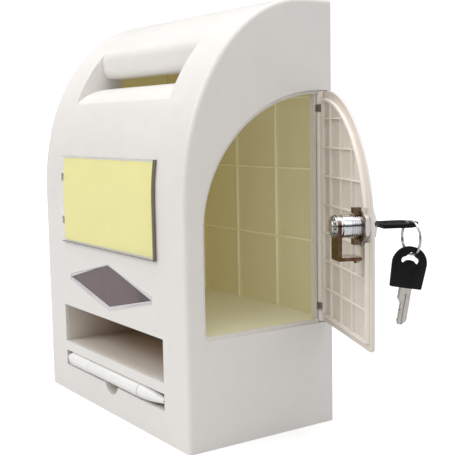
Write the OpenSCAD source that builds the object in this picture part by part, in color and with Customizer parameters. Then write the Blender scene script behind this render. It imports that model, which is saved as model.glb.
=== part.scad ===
// Wall ballot box: an arched housing with a posting slot, a card pocket, a pen slot,
// a clear label cover, a diamond window and a locked side door that stands open.
// X is to the right seen from the front, the front faces -Y, Z is up, the origin is
// the middle of the base. Inside the modules y counts from the front face.

/* [Housing] */
// Width of the box
body_width = 200; // [180:1:240]
// Depth of the box, front to back
body_depth = 110; // [105:1:130]
// Height of the box
body_height = 270; // [262:1:300]
// Front and top wall
front_wall = 2.6; // [2:0.1:3.2]
// Side wall
side_wall = 3; // [2.6:0.1:3.6]
// Rounding of the long side edges
edge_round = 3; // [1:0.1:4]
// Height where the flat front starts to arch back
arch_start = 148; // [140:1:160]
// Depth of the flat part of the top
top_flat = 20; // [12:1:30]

/* [Posting slot] */
// Half width of the recess between the two side ribs
recess_half = 66; // [50:1:72]
// Height of the slot floor above the base
slot_floor = 221; // [216:1:226]
// Clear height of the slot
slot_gap = 7; // [5:0.5:10]
// Depth of the slot mouth behind the front face
slot_back = 50; // [46:1:60]
// Lowest point of the rounded lip under the slot
lip_low = 196; // [190:1:200]
// Depth from the slot end of the lip to its front
lip_reach = 33; // [28:1:34]
// Radius of the roll over the slot
roll_radius = 10.7; // [8:0.1:12]
// Radius of the lower edge of the roll
roll_corner = 7; // [4:0.5:8]
// Depth of the front of the roll behind the front face
roll_front = 34.5; // [32:0.5:38]

/* [Door] */
// Front edge of the door, behind the front face
door_front = 12.9; // [12:0.1:16]
// Lower edge of the door
door_bottom = 67; // [66:0.5:70]
// Top of the door's arch
door_top = 213.5; // [205:0.5:216]
// Height where the door's arch starts
door_arch = 130; // [120:1:150]
// Distance of the arch's middle in front of the hinge
door_arch_middle = 3.5; // [2:0.5:6]
// Door skin
door_skin = 1.6; // [1.2:0.1:1.8]
// Gap round the closed door
door_gap = 0.5; // [0.3:0.1:0.8]
// Overlap of the door on the ledge round its opening
door_lap = 1.6; // [1.2:0.1:2]
// Rounding of the door's lower front corner
door_corner = 4; // [2:0.5:8]
// Distance of the door's stiffening wall from its edge
flange_inset = 4.6; // [4:0.1:6]
// Depth of the stiffening wall
flange_depth = 2.4; // [1.9:0.1:3]
// Thickness of the stiffening wall
flange_wall = 1.4; // [1:0.1:2]
// Thickness of the door's ribs
rib_wall = 1; // [0.8:0.1:1.4]
// Depth of the door's ribs
rib_depth = 1.8; // [1:0.1:1.8]
// Spacing of the door's upright ribs
rib_step_y = 20; // [16:1:26]
// Spacing of the door's level ribs
rib_step_z = 17.7; // [14:0.1:22]
// How far the door stands open
door_angle = 67.2; // [0:0.1:90]

/* [Hinge] */
// Distance of the hinge line in front of the back
hinge_inset = 6; // [5.9:0.1:7]
// Distance of the hinge line inside the side face
hinge_depth = 3; // [2.9:0.1:3.4]
// Radius of the hinge pins
pin_radius = 1.4; // [1:0.1:1.6]
// Length of a hinge pin
pin_length = 16; // [12:1:24]
// Height of a hinge lug
lug_height = 4.4; // [3:0.1:8]
// Middle of the lower lug
lug_low = 76.5; // [75:0.5:90]
// Middle of the upper lug
lug_high = 203; // [180:0.5:204]

/* [Pockets] */
// Play at each end of the pen in its slot; the card pocket is as wide as the slot
pen_play = 2.2; // [1.5:0.1:6]
// Floor of the card pocket
tray_floor = 37.6; // [36:0.1:42]
// Clear height of the card pocket
tray_gap = 27.3; // [20:0.1:28]
// Depth of the card pocket
tray_depth = 60; // [40:1:90]
// Floor of the pen slot
trough_floor = 19.7; // [12:0.1:21]
// Clear height of the pen slot
trough_gap = 11; // [10.8:0.1:12]
// Depth of the pen slot
trough_depth = 22; // [18:1:40]
// Wall of both pockets
pocket_wall = 2; // [1.2:0.1:2.2]
// Radius of the thumb notch
notch_radius = 9.4; // [7:0.1:11]
// Height of the thumb notch's middle above the slot floor
notch_lift = 3.3; // [1:0.1:5]

/* [Label] */
// Half width of the label cover
cover_half = 67.3; // [50:0.1:68]
// Lower edge of the label cover
cover_low = 112.4; // [108:0.1:120]
// Upper edge of the label cover
cover_high = 173.8; // [165:0.1:180]
// How far the cover stands off the front face
cover_proud = 2.4; // [1.8:0.1:3]
// Depth of the room behind the cover
cover_room = 1; // [0.6:0.1:1.4]
// Width of the cover's rim
cover_rim = 1.2; // [0.8:0.1:2]
// Thickness of the card
card_thick = 0.4; // [0.2:0.05:0.6]

/* [Window] */
// Half width of the diamond window
window_half = 59.4; // [40:0.1:62]
// Half height of the diamond window
window_rise = 15.6; // [10:0.1:16]
// Middle of the window above the base
window_middle = 87; // [86.5:0.1:90]
// Width of the bevelled border
bezel_width = 1.9; // [1:0.1:4]
// Thickness of the pane
pane_thick = 1.6; // [1:0.1:3]

/* [Lock] */
// Distance of the lock behind the front edge of the door
lock_inset = 11.3; // [11.3:0.1:20]
// Height of the lock
lock_height = 137; // [110:1:160]
// Radius of the lock's threaded barrel
barrel_radius = 6.7; // [6.4:0.1:7.5]
// Length of the barrel behind the lock's head
barrel_length = 16; // [14:0.1:18]
// Radius of the lock's head
head_radius = 9.2; // [8:0.1:11]
// Thickness of the lock's head
head_thick = 2.2; // [1.8:0.1:3]
// Radius of the turning plug
plug_radius = 5.2; // [4.8:0.1:5.3]
// Nut across its flats
nut_flats = 17; // [15:0.1:19]
// Thickness of the nut
nut_thick = 3; // [2.5:0.1:5]
// Spacing of the thread's crests
thread_pitch = 1; // [0.75:0.05:1.5]
// Width of the cam
cam_width = 13; // [10:0.5:14]
// Thickness of the cam
cam_thick = 2; // [1.5:0.1:2.4]
// Distance of the cam's step from the lock's axis
cam_drop = 16.6; // [14:0.1:17]
// Length of the cam's step towards the door
cam_step = 11.4; // [6:0.1:11.6]
// Reach of the cam's tongue from the lock's axis
cam_reach = 20.9; // [19:0.1:21]

/* [Keys] */
// Length of a key's bow
bow_length = 23.3; // [20:0.1:26]
// Width of a key's bow at its shoulders
bow_width = 19.6; // [17:0.1:22]
// Thickness of a key's bow
bow_thick = 2.3; // [2:0.1:2.4]
// Length of a key's blade outside the bow
blade_length = 20.4; // [18:0.1:21]
// Width of a key's blade
blade_width = 7.2; // [6:0.1:7.4]
// Thickness of a key's blade
blade_thick = 2; // [1.6:0.1:2.2]
// Radius of the key ring, to the middle of its wire
ring_radius = 9.2; // [8.8:0.1:12]
// Radius of the key ring's wire
wire_radius = 0.75; // [0.6:0.05:0.8]
// Direction of the ring, turned from the lock's axis
ring_turn = -80; // [-80:1:-60]
// Sideways tilt of the hanging key
spare_tilt = 11; // [0:1:20]

/* [Pen] */
// Radius of the pen's rear half
pen_radius = 4.9; // [4:0.1:5]
// Radius of the pen's thicker rear section
pen_thick_radius = 5.1; // [4.6:0.1:5.1]
// Length of the whole pen
pen_length = 139; // [130:1:141]
// Length of the pen's nose
nose_length = 29; // [20:1:40]
// Length of the push button that stands out
button_length = 6; // [4:0.5:8]
// Travel of the push button
button_travel = 3.5; // [2:0.5:4]

/* [Back panel] */
// Thickness of the back panel
panel_thick = 2.5; // [2:0.1:3]
// Spacing of the panel's ribs
panel_step = 46.5; // [40:0.5:48]
// Depth of the panel's ribs
panel_rib = 1.6; // [1:0.1:2]
// Half distance of the two wall screw holes
wall_hole_half = 60; // [40:1:80]
// Height of the wall screw holes
wall_hole_height = 236; // [225:1:245]
// Radius of the wall screw holes
wall_hole_radius = 2.5; // [2:0.1:3]

/* [Hidden] */
$fn = 48;

// Clearance between pieces that only pass each other
slack = 0.3;
// Clearance between faces that nearly meet
near = 0.1;
// Radial clearance of a turning fit
fit = 0.05;
// Clearance of a piece that is pushed or glued into its seat
seat = 0.02;
// Overshoot of a cut and sinking of a joined rib
cut = 1;
merge = 0.05;
// Straight pieces in a quarter of an arch
arch_steps = 28;
corner_steps = 6;
round_steps = 4;

// Housing
side = body_width / 2;
inner = side - side_wall;
arch_middle = body_depth - top_flat;
arch_rise = body_height - arch_start;
lip_start = front_depth(lip_low) - slack;
lip_middle = lip_start + lip_reach;
slot_roof = slot_floor + slot_gap;
roll_blend = 44;
roll_height = top_height(roll_front + roll_radius * (1 - cos(roll_blend)))
    - roll_radius * sin(roll_blend);
outside = 12;

// Back panel, its bosses and its screws
boss_radius = 4.5;
boss_sink = 0.5;
boss_length = 12;
screw_radius = 1.5;
screw_head = 2.9;
head_sink = 1.4;
cross_length = 3.4;
cross_width = 0.7;
cross_depth = 0.8;
panel_gap = 0.2;
panel_back = body_depth - panel_gap;
panel_front = panel_back - panel_thick;
panel_rib_low = 117.2;
panel_rib_inset = 15;
panel_rib_end = 6;
panel_reach = inner - panel_rib_end;
panel_columns = floor(inner / panel_step - 0.5);
panel_rows = floor((body_height - panel_rib_inset - panel_rib_low) / panel_step);

// Side door, its ledge and its hinge
hinge_x = side - hinge_depth;
hinge_y = body_depth - hinge_inset;
knuckle_inset = 0.2;
knuckle_radius = hinge_depth - knuckle_inset;
knuckle_room = knuckle_radius + 2 * knuckle_inset;
skin_outer = hinge_x + knuckle_radius - near;
skin_inner = skin_outer - door_skin;
ledge_face = skin_inner - near;
door_arch_y = hinge_y - door_arch_middle;
flange_back = 6;
flange_rear = hinge_y - flange_back;
rib_first = 1;
rib_low = 5.4;
jamb_back = 3.6;
jamb_rear = hinge_y - jamb_back;
jamb_thick = 1.4;
jamb_depth = 4.5;
jamb_reach = 6;
lug_radius = knuckle_radius - knuckle_inset;
lug_arm = 0.3;
lug_sink = 0.2;
lug_gap_front = 4.4;

// Floor and pockets
tray_roof = tray_floor + tray_gap;
floor_low = tray_roof + pocket_wall;
floor_thick = 1.7;
rail_width = 3.5;
rail_height = 3;
trough_roof = trough_floor + trough_gap;
pocket_half = pen_length / 2 + pen_play;
notch_depth = 8;

// Label and window
cover_steps = 12;
card_play = 0.4;
card_inset = cover_rim + card_play;
card_edge = cover_half - card_inset;
tab_inset = 15.2;
tab_height = 4.6;
tab_offset = 1.8;
tab_depth = 1.3;
tab_radius = 1;
tab_pin_radius = 0.5;
tab_pin_reach = 0.8;
tab_room = tab_radius + slack;
tab_side = 0.4;
tab_half = tab_height / 2;
tab_pin_half = tab_half + tab_side + tab_pin_reach;
tab_arm = 0.8;
tab_rise = 0.6;
tab_x = -cover_half - tab_offset;
tab_arm_end = -cover_half + cover_rim;
tab_heights = [cover_low + tab_inset, cover_high - tab_inset];
window_side = norm([window_half, window_rise]);
bezel_proud = 0.3;
bezel_half = window_half - bezel_width * window_side / window_rise;
bezel_rise = window_rise - bezel_width * window_side / window_half;
pane_lap_x = 3.5;
pane_lap_z = 1;

// Lock: x positions along its axis, the door closed
lock_y = door_front + lock_inset;
seat_radius = 11;
rib_columns = floor((hinge_y - rib_first - lock_y - seat_radius) / rib_step_y);
rib_rows = floor((door_top - door_bottom - rib_low) / rib_step_z);
washer_thick = 0.8;
washer_radius = 9;
nut_front = skin_inner;
nut_rear = nut_front - nut_thick;
washer_rear = nut_rear - washer_thick;
tab_block = 3.6;
tab_block_half = 2.5;
tab_block_low = 7.1;
tab_block_high = 10.3;
barrel_rear = skin_outer - barrel_length;
head_face = skin_outer + head_thick;
head_edge = 0.5;
bore_radius = plug_radius + fit;
barrel_flat = 0.5;
flat_half = barrel_radius - barrel_flat;
thread_depth = 0.35;
thread_length = 9.5;
thread_crests = floor(thread_length / thread_pitch);
thread_start = skin_inner - thread_length;
plug_head_radius = 6.2;
plug_head_depth = 1.2;
plug_stop_radius = 6.2;
plug_stop_thick = 0.8;
stop_front = barrel_rear - slack;
stop_rear = stop_front - plug_stop_thick;
square_half = 3.4;
square_short = 0.2;
stop_washer = 1;
stop_washer_radius = 6.2;
star_washer = 0.9;
star_teeth = 16;
star_radius = 5.4;
star_notch = 0.7;
cam_front = stop_rear;
cam_rear = cam_front - cam_thick;
stop_washer_rear = cam_rear - stop_washer;
plug_rear = stop_washer_rear + square_short;
star_rear = stop_washer_rear - star_washer;
bolt_radius = 1.9;
bolt_head = 2.4;
bolt_flats = 8;
bolt_depth = 4.2;
tongue_front = cam_front + cam_step;
tongue_radius = cam_reach - cam_drop;
strike_gap = 0.4;
strike_face = tongue_front + strike_gap;
strike_half = 12;

// Keys and ring
key_gap = 3.2;
key_room = 0.08;
bow_start = head_face + key_gap;
key_tip = bow_start - blade_length;
bow_curve = 0.42;
bow_round = bow_curve * bow_length;
bow_bulge = 1;
bow_widest = bow_width / 2 + bow_bulge;
hole_inset = 8.3;
hole_u = bow_length - hole_inset;
hole_v = 4.6;
hole_radius = 2.1;
peak_shift = 2.6;
peak_u = hole_u + peak_shift;
peak_radius = 2.4;
bridge_shift = 1.55;
bridge_u = hole_u + bridge_shift;
bridge_v = -8.2;
ring_gap = 0.4;
ring_drop = ring_radius - wire_radius - ring_gap - bow_thick / 2;
hang_u = peak_u + peak_radius - wire_radius - ring_gap;
tang_length = 9;
tang_half = 2.5;
tang_root = 3;
tang_step = 0.5;
tang_thick = blade_thick / 2 - tang_step;
tip_round = 2.4;
tip_half = 0.9;
shoulder = 6;
shoulder_slope = 1;
blade_narrow = 5.4;
bit_step = 2.2;
bit_depth = 0.6;
groove_half = 0.7;
groove_depth = 0.4;

// Pen
pen_y = 2.8;
pen_z = trough_floor + pen_thick_radius + slack;
pen_shift = 1;
pen_start = -pen_length / 2 - pen_shift;
barrel_start = pen_start + button_length;
nose_start = pen_start + pen_length - nose_length;
pen_end = pen_start + pen_length;
pen_bore = 3.2;
pen_lip = 3;
pen_ring = 2;
rear_round = 1.3;
button_radius = 2.8;
button_flange = 3;
button_reach = 7;
button_end = barrel_start + button_reach;
rear_length = 31.5;
step_start = barrel_start + rear_length;
step_slope = 0.6;
tip_length = 4;
tip_radius = 2.6;
tip_end = 1.9;
refill_radius = 1.15;
refill_inset = 1.6;
refill_end = pen_end - refill_inset;
refill_point = 0.4;
collar_radius = 2.5;
collar_length = 2;
spring_inset = 5.5;
spring_start = nose_start + spring_inset;
spring_length = 7;

// Depth of the front face at height z, and height of the roof at depth y
function front_depth(z) = z <= arch_start ? 0
    : arch_middle * (1 - sqrt(1 - pow((z - arch_start) / arch_rise, 2)));
function top_height(y) = arch_start + arch_rise * sqrt(1 - pow(1 - y / arch_middle, 2));

// Points on an arc of an ellipse
function arc(y, z, ry, rz, from, to, steps) =
    [for (i = [0:steps]) let (a = from + (to - from) * i / steps) [y + ry * cos(a), z + rz * sin(a)]];

// Side outline of the box, drawn in by inset along the front, the arch and the top
function shell_outline(inset) = concat([[inset, 0]],
    arc(arch_middle, arch_start, arch_middle - inset, arch_rise - inset, 180, 90, arch_steps),
    [[body_depth, body_height - inset], [body_depth, 0]]);

// Side outline of the room inside, open at the back
function room_outline() = concat([[front_wall, front_wall]],
    arc(arch_middle, arch_start, arch_middle - front_wall, arch_rise - front_wall, 180, 90, arch_steps),
    [[body_depth + cut, body_height - front_wall], [body_depth + cut, front_wall]]);

// Recess with the lip, the slot and the roll above it; wall grows it into the material
function recess_outline(wall) = concat(
    [[-outside, lip_low], [lip_start + wall, lip_low]],
    arc(lip_middle, lip_low, lip_reach - wall, slot_floor - lip_low - wall, 180, 90, arch_steps),
    [[slot_back + (wall > 0 ? 0 : cut), slot_floor - wall],
     [slot_back + (wall > 0 ? 0 : cut), slot_roof + wall]],
    arc(roll_front + roll_corner, slot_roof + roll_corner, roll_corner - wall, roll_corner - wall,
        270, 180, corner_steps),
    arc(roll_front + roll_radius, roll_height, roll_radius - wall, roll_radius - wall,
        180, 180 - roll_blend, corner_steps),
    [[roll_front - outside / 2, body_height - outside], [-outside, body_height - outside]]);

// Side outline of the door, grown by more, back to rear
function door_outline(more, rear) = let (low = door_bottom - more, front = door_front - more,
        bend = max(door_corner + more, 0.5), depth = door_arch_y - front, rise = door_top + more - door_arch,
        lean = max(0, door_arch_y - rear) / depth)
    concat([[rear, low]],
    arc(front + bend, low + bend, bend, bend, 270, 180, corner_steps),
    [for (p = arc(door_arch_y, door_arch, depth, rise, 180, 90, arch_steps)) if (p[0] < rear - slack) p],
    [[rear, door_arch + rise * sqrt(1 - lean * lean)]]);

// Band along the front face between two heights, from back to front before the face
function face_band(low, high, back, front) = concat(
    [for (i = [0:cover_steps]) let (z = low + (high - low) * i / cover_steps) [front_depth(z) - front, z]],
    [for (i = [cover_steps:-1:0]) let (z = low + (high - low) * i / cover_steps)
        [front_depth(z) - back, z]]);

// Moves a piece that is drawn from the front face to the middle of the base
module from_front() translate([0, -body_depth / 2, 0]) children();

// Stretches a side outline from x low to x high
module span(low, high) translate([low, 0, 0]) rotate([90, 0, 90]) linear_extrude(high - low) children();

// A block between two corners
module block(low, high) translate(low) cube(high - low);

// Rods along x and along y
module rod_x(low, high, radius) translate([low, 0, 0]) rotate([0, 90, 0])
    cylinder(h = high - low, r = radius);
module rod_y(low, high, radius) translate([0, high, 0]) rotate([90, 0, 0])
    cylinder(h = high - low, r = radius);

// A solid turned round x from points of x and radius
module turned_x(points) rotate([0, 90, 0]) rotate_extrude() polygon([for (p = points) [p[1], p[0]]]);

// A diamond plate that faces the front, from depth front to depth rear
module diamond(front, rear, half, rise) translate([0, rear, window_middle]) rotate([90, 0, 0])
    linear_extrude(rear - front) polygon([[-half, 0], [0, rise], [half, 0], [0, -rise]]);

// Repeats a piece at the four screws of the back panel
module at_bosses() for (x = [-1, 1], z = [front_wall + boss_radius - boss_sink,
        body_height - front_wall - boss_radius + boss_sink])
    translate([x * (inner - boss_radius + boss_sink), 0, z]) children();

// Repeats a piece at the two hinge lugs
module at_lugs() for (z = [lug_low, lug_high]) translate([hinge_x, hinge_y, z]) children();

// Repeats a piece at the two hinge tabs of the label cover
module at_tabs() for (z = tab_heights) translate([tab_x, 0, z]) children();

// Places what is drawn for the closed door on the open one
module on_door() from_front() translate([hinge_x, hinge_y, 0]) rotate(door_angle)
    translate([-hinge_x, -hinge_y, 0]) children();

// Places what is drawn round the lock's axis
module on_lock() on_door() translate([0, lock_y, lock_height]) children();

// Solid of the housing's outside: side outlines on both sides, drawn in towards the ends
module rounded_shell() {
    angles = [for (i = [0:round_steps]) 90 * i / round_steps];
    reaches = [for (a = angles) side - edge_round * (1 - sin(a))];
    outlines = [for (a = angles) shell_outline(edge_round * (1 - cos(a)))];
    places = concat([for (i = [round_steps:-1:0]) [-1, i]], [for (i = [0:round_steps]) [1, i]]);
    count = len(outlines[0]);
    last = len(places) - 1;
    polyhedron(
        points = [for (s = places) for (p = outlines[s[1]]) [s[0] * reaches[s[1]], p[0], p[1]]],
        faces = concat([[for (j = [count - 1:-1:0]) j]], [[for (j = [0:count - 1]) last * count + j]],
            [for (k = [0:last - 1], j = [0:count - 1], half = [0, 1]) let (next = (j + 1) % count,
                a = k * count + j, b = k * count + next, c = a + count, d = b + count)
                half == 0 ? [a, b, d] : [a, d, c]]));
}

// Room inside the housing, with the recess and its walls left standing
module room() difference() {
    span(-inner, inner) polygon(room_outline());
    span(-recess_half - front_wall, recess_half + front_wall) polygon(recess_outline(front_wall));
}

// Ledge for the door's skin, the opening inside it and the room for the knuckle
module door_way() {
    span(ledge_face, side + cut) polygon(door_outline(door_gap, hinge_y + knuckle_room));
    span(inner - cut, side + cut) polygon(door_outline(-door_lap, hinge_y));
    block([inner - cut, hinge_y - knuckle_room, door_bottom - door_gap],
        [side + cut, hinge_y + knuckle_room, door_top + door_gap]);
}

// Round notch below the pen slot, between two depths and below a height
module thumb_notch(front, rear, radius, top) intersection() {
    translate([0, 0, trough_floor + notch_lift]) rod_y(front, rear, radius);
    block([-radius - cut, front, trough_floor + notch_lift - radius - cut], [radius + cut, rear, top]);
}

// Everything that is cut through the front wall
module front_cuts() {
    block([-pocket_half, -cut, tray_floor], [pocket_half, front_wall + cut, tray_roof]);
    block([-pocket_half, -cut, trough_floor], [pocket_half, front_wall + cut, trough_roof]);
    thumb_notch(-cut, front_wall + cut, notch_radius, trough_floor + merge);
    diamond(-cut, front_wall + cut, window_half, window_rise);
    at_tabs() {
        block([-tab_room, -cut, -tab_half - tab_side],
            [tab_arm_end - tab_x + slack, front_wall + cut, tab_half + tab_side]);
        translate([0, tab_depth, -tab_pin_half - slack])
            cylinder(h = 2 * (tab_pin_half + slack), r = tab_pin_radius + fit);
    }
}

// Strike for the lock's tongue, jamb of the door, rails of the floor, hinge lugs and bosses
module braces() {
    block([strike_face, front_wall - merge, lock_height - strike_half],
        [inner + merge, door_front, lock_height + strike_half]);
    block([inner - jamb_depth, jamb_rear - jamb_thick, door_bottom - jamb_reach],
        [inner + merge, jamb_rear, door_top + jamb_reach]);
    for (s = [0, 1]) mirror([s, 0, 0])
        block([inner - rail_width, front_wall - merge, floor_low - rail_height],
            [inner + merge, jamb_rear - jamb_thick - cut, floor_low]);
    at_lugs() {
        translate([0, 0, -lug_height / 2]) cylinder(h = lug_height, r = lug_radius);
        block([lug_arm, 0, -lug_height / 2], [lug_radius, knuckle_room + lug_sink, lug_height / 2]);
    }
    at_bosses() rod_y(panel_front - boss_length, panel_front, boss_radius);
}

// Moulded housing: front, arch, top, base and both sides in one piece, open at the back
module housing() color("ivory") from_front() difference() {
    union() {
        difference() {
            rounded_shell();
            room();
            door_way();
        }
        braces();
    }
    span(-recess_half, recess_half) polygon(recess_outline(0));
    front_cuts();
    at_lugs() translate([0, 0, -lug_height / 2 - cut])
        cylinder(h = lug_height + 2 * cut, r = pin_radius + seat);
    at_bosses() rod_y(panel_front - boss_length - cut, panel_front + cut, screw_radius + seat);
}

// Flat back panel with its stiffening ribs, its screw holes and the two wall holes
module back_panel() color("ivory") from_front() difference() {
    union() {
        block([-inner + panel_gap, panel_front, front_wall + panel_gap],
            [inner - panel_gap, panel_back, body_height - front_wall - panel_gap]);
        for (i = [-panel_columns:panel_columns]) translate([i * panel_step, 0, 0])
            block([-rib_wall / 2, panel_front - panel_rib, panel_rib_inset],
                [rib_wall / 2, panel_front + merge, body_height - panel_rib_inset]);
        for (i = [0:panel_rows]) translate([0, 0, panel_rib_low + i * panel_step])
            block([-panel_reach, panel_front - panel_rib, 0], [panel_reach, panel_front + merge, rib_wall]);
    }
    block([-inner, panel_front - panel_rib - cut, floor_low - slack],
        [inner, panel_front, floor_low + floor_thick + slack]);
    for (s = [-1, 1]) translate([s * wall_hole_half, 0, wall_hole_height])
        rod_y(panel_front - panel_rib - cut, body_depth + cut, wall_hole_radius);
    at_bosses() {
        rod_y(panel_front - cut, body_depth + cut, screw_radius + slack);
        rod_y(panel_back - head_sink, body_depth + cut, screw_head + slack);
    }
}

// Four screws with sunk heads that hold the back panel
module back_screws() color("silver") from_front() at_bosses() difference() {
    union() {
        rod_y(panel_front - boss_length + cut, panel_back - head_sink + merge, screw_radius);
        rod_y(panel_back - head_sink, panel_back, screw_head);
    }
    for (a = [0, 90]) rotate([0, a, 0]) block([-cross_length / 2, panel_back - cross_depth, -cross_width / 2],
        [cross_length / 2, panel_back + cut, cross_width / 2]);
}

// Floor of the ballot compartment, a plate on the side rails, cut away at the jamb
module compartment_floor() color("cornsilk") from_front() difference() {
    block([-inner + slack, front_wall + slack, floor_low],
        [inner - slack, panel_front - slack, floor_low + floor_thick]);
    block([inner - jamb_depth - slack, jamb_rear - jamb_thick - slack, floor_low - cut],
        [inner + cut, panel_front + cut, floor_low + floor_thick + cut]);
}

// Open box behind a mouth in the front wall
module pocket(low, high, depth) difference() {
    block([-pocket_half - pocket_wall, front_wall, low - pocket_wall],
        [pocket_half + pocket_wall, depth + pocket_wall, high + pocket_wall]);
    block([-pocket_half, front_wall - cut, low], [pocket_half, depth, high]);
}

// Card pocket behind the front face
module card_tray() color("ivory") from_front() pocket(tray_floor, tray_roof, tray_depth);

// Pen slot with the scoop behind the thumb notch
module pen_trough() color("ivory") from_front() difference() {
    union() {
        pocket(trough_floor, trough_roof, trough_depth);
        thumb_notch(front_wall, notch_depth + pocket_wall, notch_radius + pocket_wall,
            trough_floor - pocket_wall / 2);
    }
    thumb_notch(front_wall - cut, notch_depth, notch_radius, trough_floor + merge);
}

// Clear bevelled border of the diamond window
module window_bezel() color("gainsboro") from_front() difference() {
    diamond(-bezel_proud, front_wall, window_half - seat, window_rise - seat);
    diamond(-cut, front_wall + cut, bezel_half, bezel_rise);
}

// Smoke-tinted pane behind the border
module window_pane() color("rosybrown", 0.6) from_front()
    diamond(front_wall, front_wall + pane_thick, window_half + pane_lap_x, window_rise + pane_lap_z);

// Bare card that lies on the front face
module label_card() color("khaki") from_front() span(-card_edge, card_edge)
    polygon(face_band(cover_low + card_inset, cover_high - card_inset, seat, seat + card_thick));

// Clear cover over the card, with a rim and two hinge tabs on its left edge
module label_cover() color("white", 0.35) from_front() {
    difference() {
        span(-cover_half, cover_half) polygon(face_band(cover_low, cover_high, slack, cover_proud));
        span(-cover_half + cover_rim, cover_half - cover_rim)
            polygon(face_band(cover_low + cover_rim, cover_high - cover_rim, -cut, cover_room));
    }
    at_tabs() {
        block([0, tab_depth - tab_arm, -tab_half],
            [tab_arm_end - tab_x, tab_depth + tab_pin_radius, tab_half]);
        block([tab_offset, -tab_rise, -tab_half], [tab_arm_end - tab_x, tab_depth, tab_half]);
        translate([0, tab_depth, -tab_half]) cylinder(h = tab_height, r = tab_radius);
        translate([0, tab_depth, -tab_pin_half]) cylinder(h = 2 * tab_pin_half, r = tab_pin_radius);
    }
}

// Two steel pins of the door's hinge
module hinge_pins() color("silver") from_front() at_lugs()
    translate([0, 0, -pin_length / 2]) cylinder(h = pin_length, r = pin_radius);

// Room between the ribs, inside the door's stiffening wall
module door_cells() difference() {
    span(skin_inner - flange_depth - cut, skin_inner)
        polygon(door_outline(-flange_inset - flange_wall, flange_rear - flange_wall));
    for (k = [1:rib_columns]) let (y = hinge_y - rib_first - k * rib_step_y)
        block([skin_inner - rib_depth, y - rib_wall / 2, 0], [side, y + rib_wall / 2, body_height]);
    for (k = [0:rib_rows]) let (z = door_bottom + rib_low + k * rib_step_z)
        block([skin_inner - rib_depth, 0, z - rib_wall / 2], [side, body_depth, z + rib_wall / 2]);
}

// Side door: skin, stiffening wall, ribs and hinge knuckle
module door_panel() color("linen") on_door() difference() {
    union() {
        span(skin_inner, skin_outer) polygon(door_outline(0, hinge_y));
        span(skin_inner - flange_depth, skin_inner + merge) polygon(door_outline(-flange_inset, flange_rear));
        translate([hinge_x, hinge_y, door_bottom]) cylinder(h = door_top - door_bottom, r = knuckle_radius);
    }
    door_cells();
    translate([0, lock_y, lock_height]) {
        rod_x(skin_inner - flange_depth - cut, skin_inner, seat_radius);
        rod_x(skin_inner - cut, side + cut, barrel_radius + near);
    }
    at_lugs() {
        block([-knuckle_room, -lug_gap_front, -lug_height / 2 - slack],
            [knuckle_room, knuckle_room, lug_height / 2 + slack]);
        translate([0, 0, -pin_length / 2 - slack]) cylinder(h = pin_length + 2 * slack, r = pin_radius + fit);
    }
}

// Lock barrel with its head, thread, flats and bore
module lock_barrel() color("silver") on_lock() difference() {
    turned_x(concat([[barrel_rear, bore_radius], [barrel_rear, barrel_radius - thread_depth]],
        [for (i = [0:thread_crests - 1], half = [0, 1]) [thread_start + (i + half / 2) * thread_pitch,
            barrel_radius - thread_depth * (1 - half)]],
        [[thread_start + thread_crests * thread_pitch, barrel_radius - thread_depth],
         [skin_outer, barrel_radius - thread_depth], [skin_outer, head_radius],
         [head_face - head_edge, head_radius], [head_face, head_radius - head_edge],
         [head_face, plug_head_radius + fit], [head_face - plug_head_depth - near, plug_head_radius + fit],
         [head_face - plug_head_depth - near, bore_radius]]));
    for (s = [0, 1]) mirror([0, s, 0]) block([barrel_rear - cut, flat_half, -head_radius],
        [skin_outer, head_radius, head_radius]);
}

// Hexagon nut behind the door
module lock_nut() color("silver") on_lock() difference() {
    translate([nut_rear, 0, 0]) rotate([0, 90, 0])
        cylinder(h = nut_thick, r = nut_flats / 2 / cos(30), $fn = 6);
    rod_x(nut_rear - cut, nut_front + cut, barrel_radius + seat);
}

// Lock washer with two tabs bent back
module lock_washer() color("saddlebrown") on_lock() difference() {
    union() {
        rod_x(washer_rear, nut_rear, washer_radius);
        for (s = [0, 1]) mirror([0, 0, s]) block([washer_rear - tab_block, -tab_block_half, tab_block_low],
            [nut_rear, tab_block_half, tab_block_high]);
    }
    rod_x(washer_rear - cut, nut_rear + cut, barrel_radius + seat);
}

// Turning plug with its head, keyway, stop ring, square and screw hole
module lock_plug() color("silver") on_lock() difference() {
    union() {
        turned_x([[stop_rear, 0], [stop_rear, plug_stop_radius], [stop_front, plug_stop_radius],
            [stop_front, plug_radius], [head_face - plug_head_depth, plug_radius],
            [head_face - plug_head_depth, plug_head_radius], [head_face, plug_head_radius], [head_face, 0]]);
        block([plug_rear, -square_half, -square_half], [stop_rear + merge, square_half, square_half]);
    }
    block([key_tip - slack, -blade_width / 2 - key_room, -blade_thick / 2 - key_room],
        [head_face + cut, blade_width / 2 + key_room, blade_thick / 2 + key_room]);
    rod_x(plug_rear - cut, plug_rear + bolt_depth, bolt_radius + seat);
}

// A piece of the cam's or a washer's square hole
module square_hole(low, high) block([low - cut, -square_half - fit, -square_half - fit],
    [high + cut, square_half + fit, square_half + fit]);

// Cam: a plate down from the axis, a step towards the door and a tongue
module lock_cam() color("tan") on_lock() difference() {
    union() {
        rod_x(cam_rear, cam_front, cam_width / 2);
        block([cam_rear, -cam_width / 2, -cam_drop - cam_thick], [cam_front, cam_width / 2, 0]);
        block([cam_rear, -cam_width / 2, -cam_drop - cam_thick], [tongue_front, cam_width / 2, -cam_drop]);
        intersection() {
            translate([0, 0, -cam_drop]) rod_x(tongue_front - cam_thick, tongue_front, tongue_radius);
            block([cam_rear, -cam_width / 2, -cam_reach - cut],
                [tongue_front + cut, cam_width / 2, -cam_drop - cam_thick / 2]);
        }
    }
    square_hole(cam_rear, cam_front);
}

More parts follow.
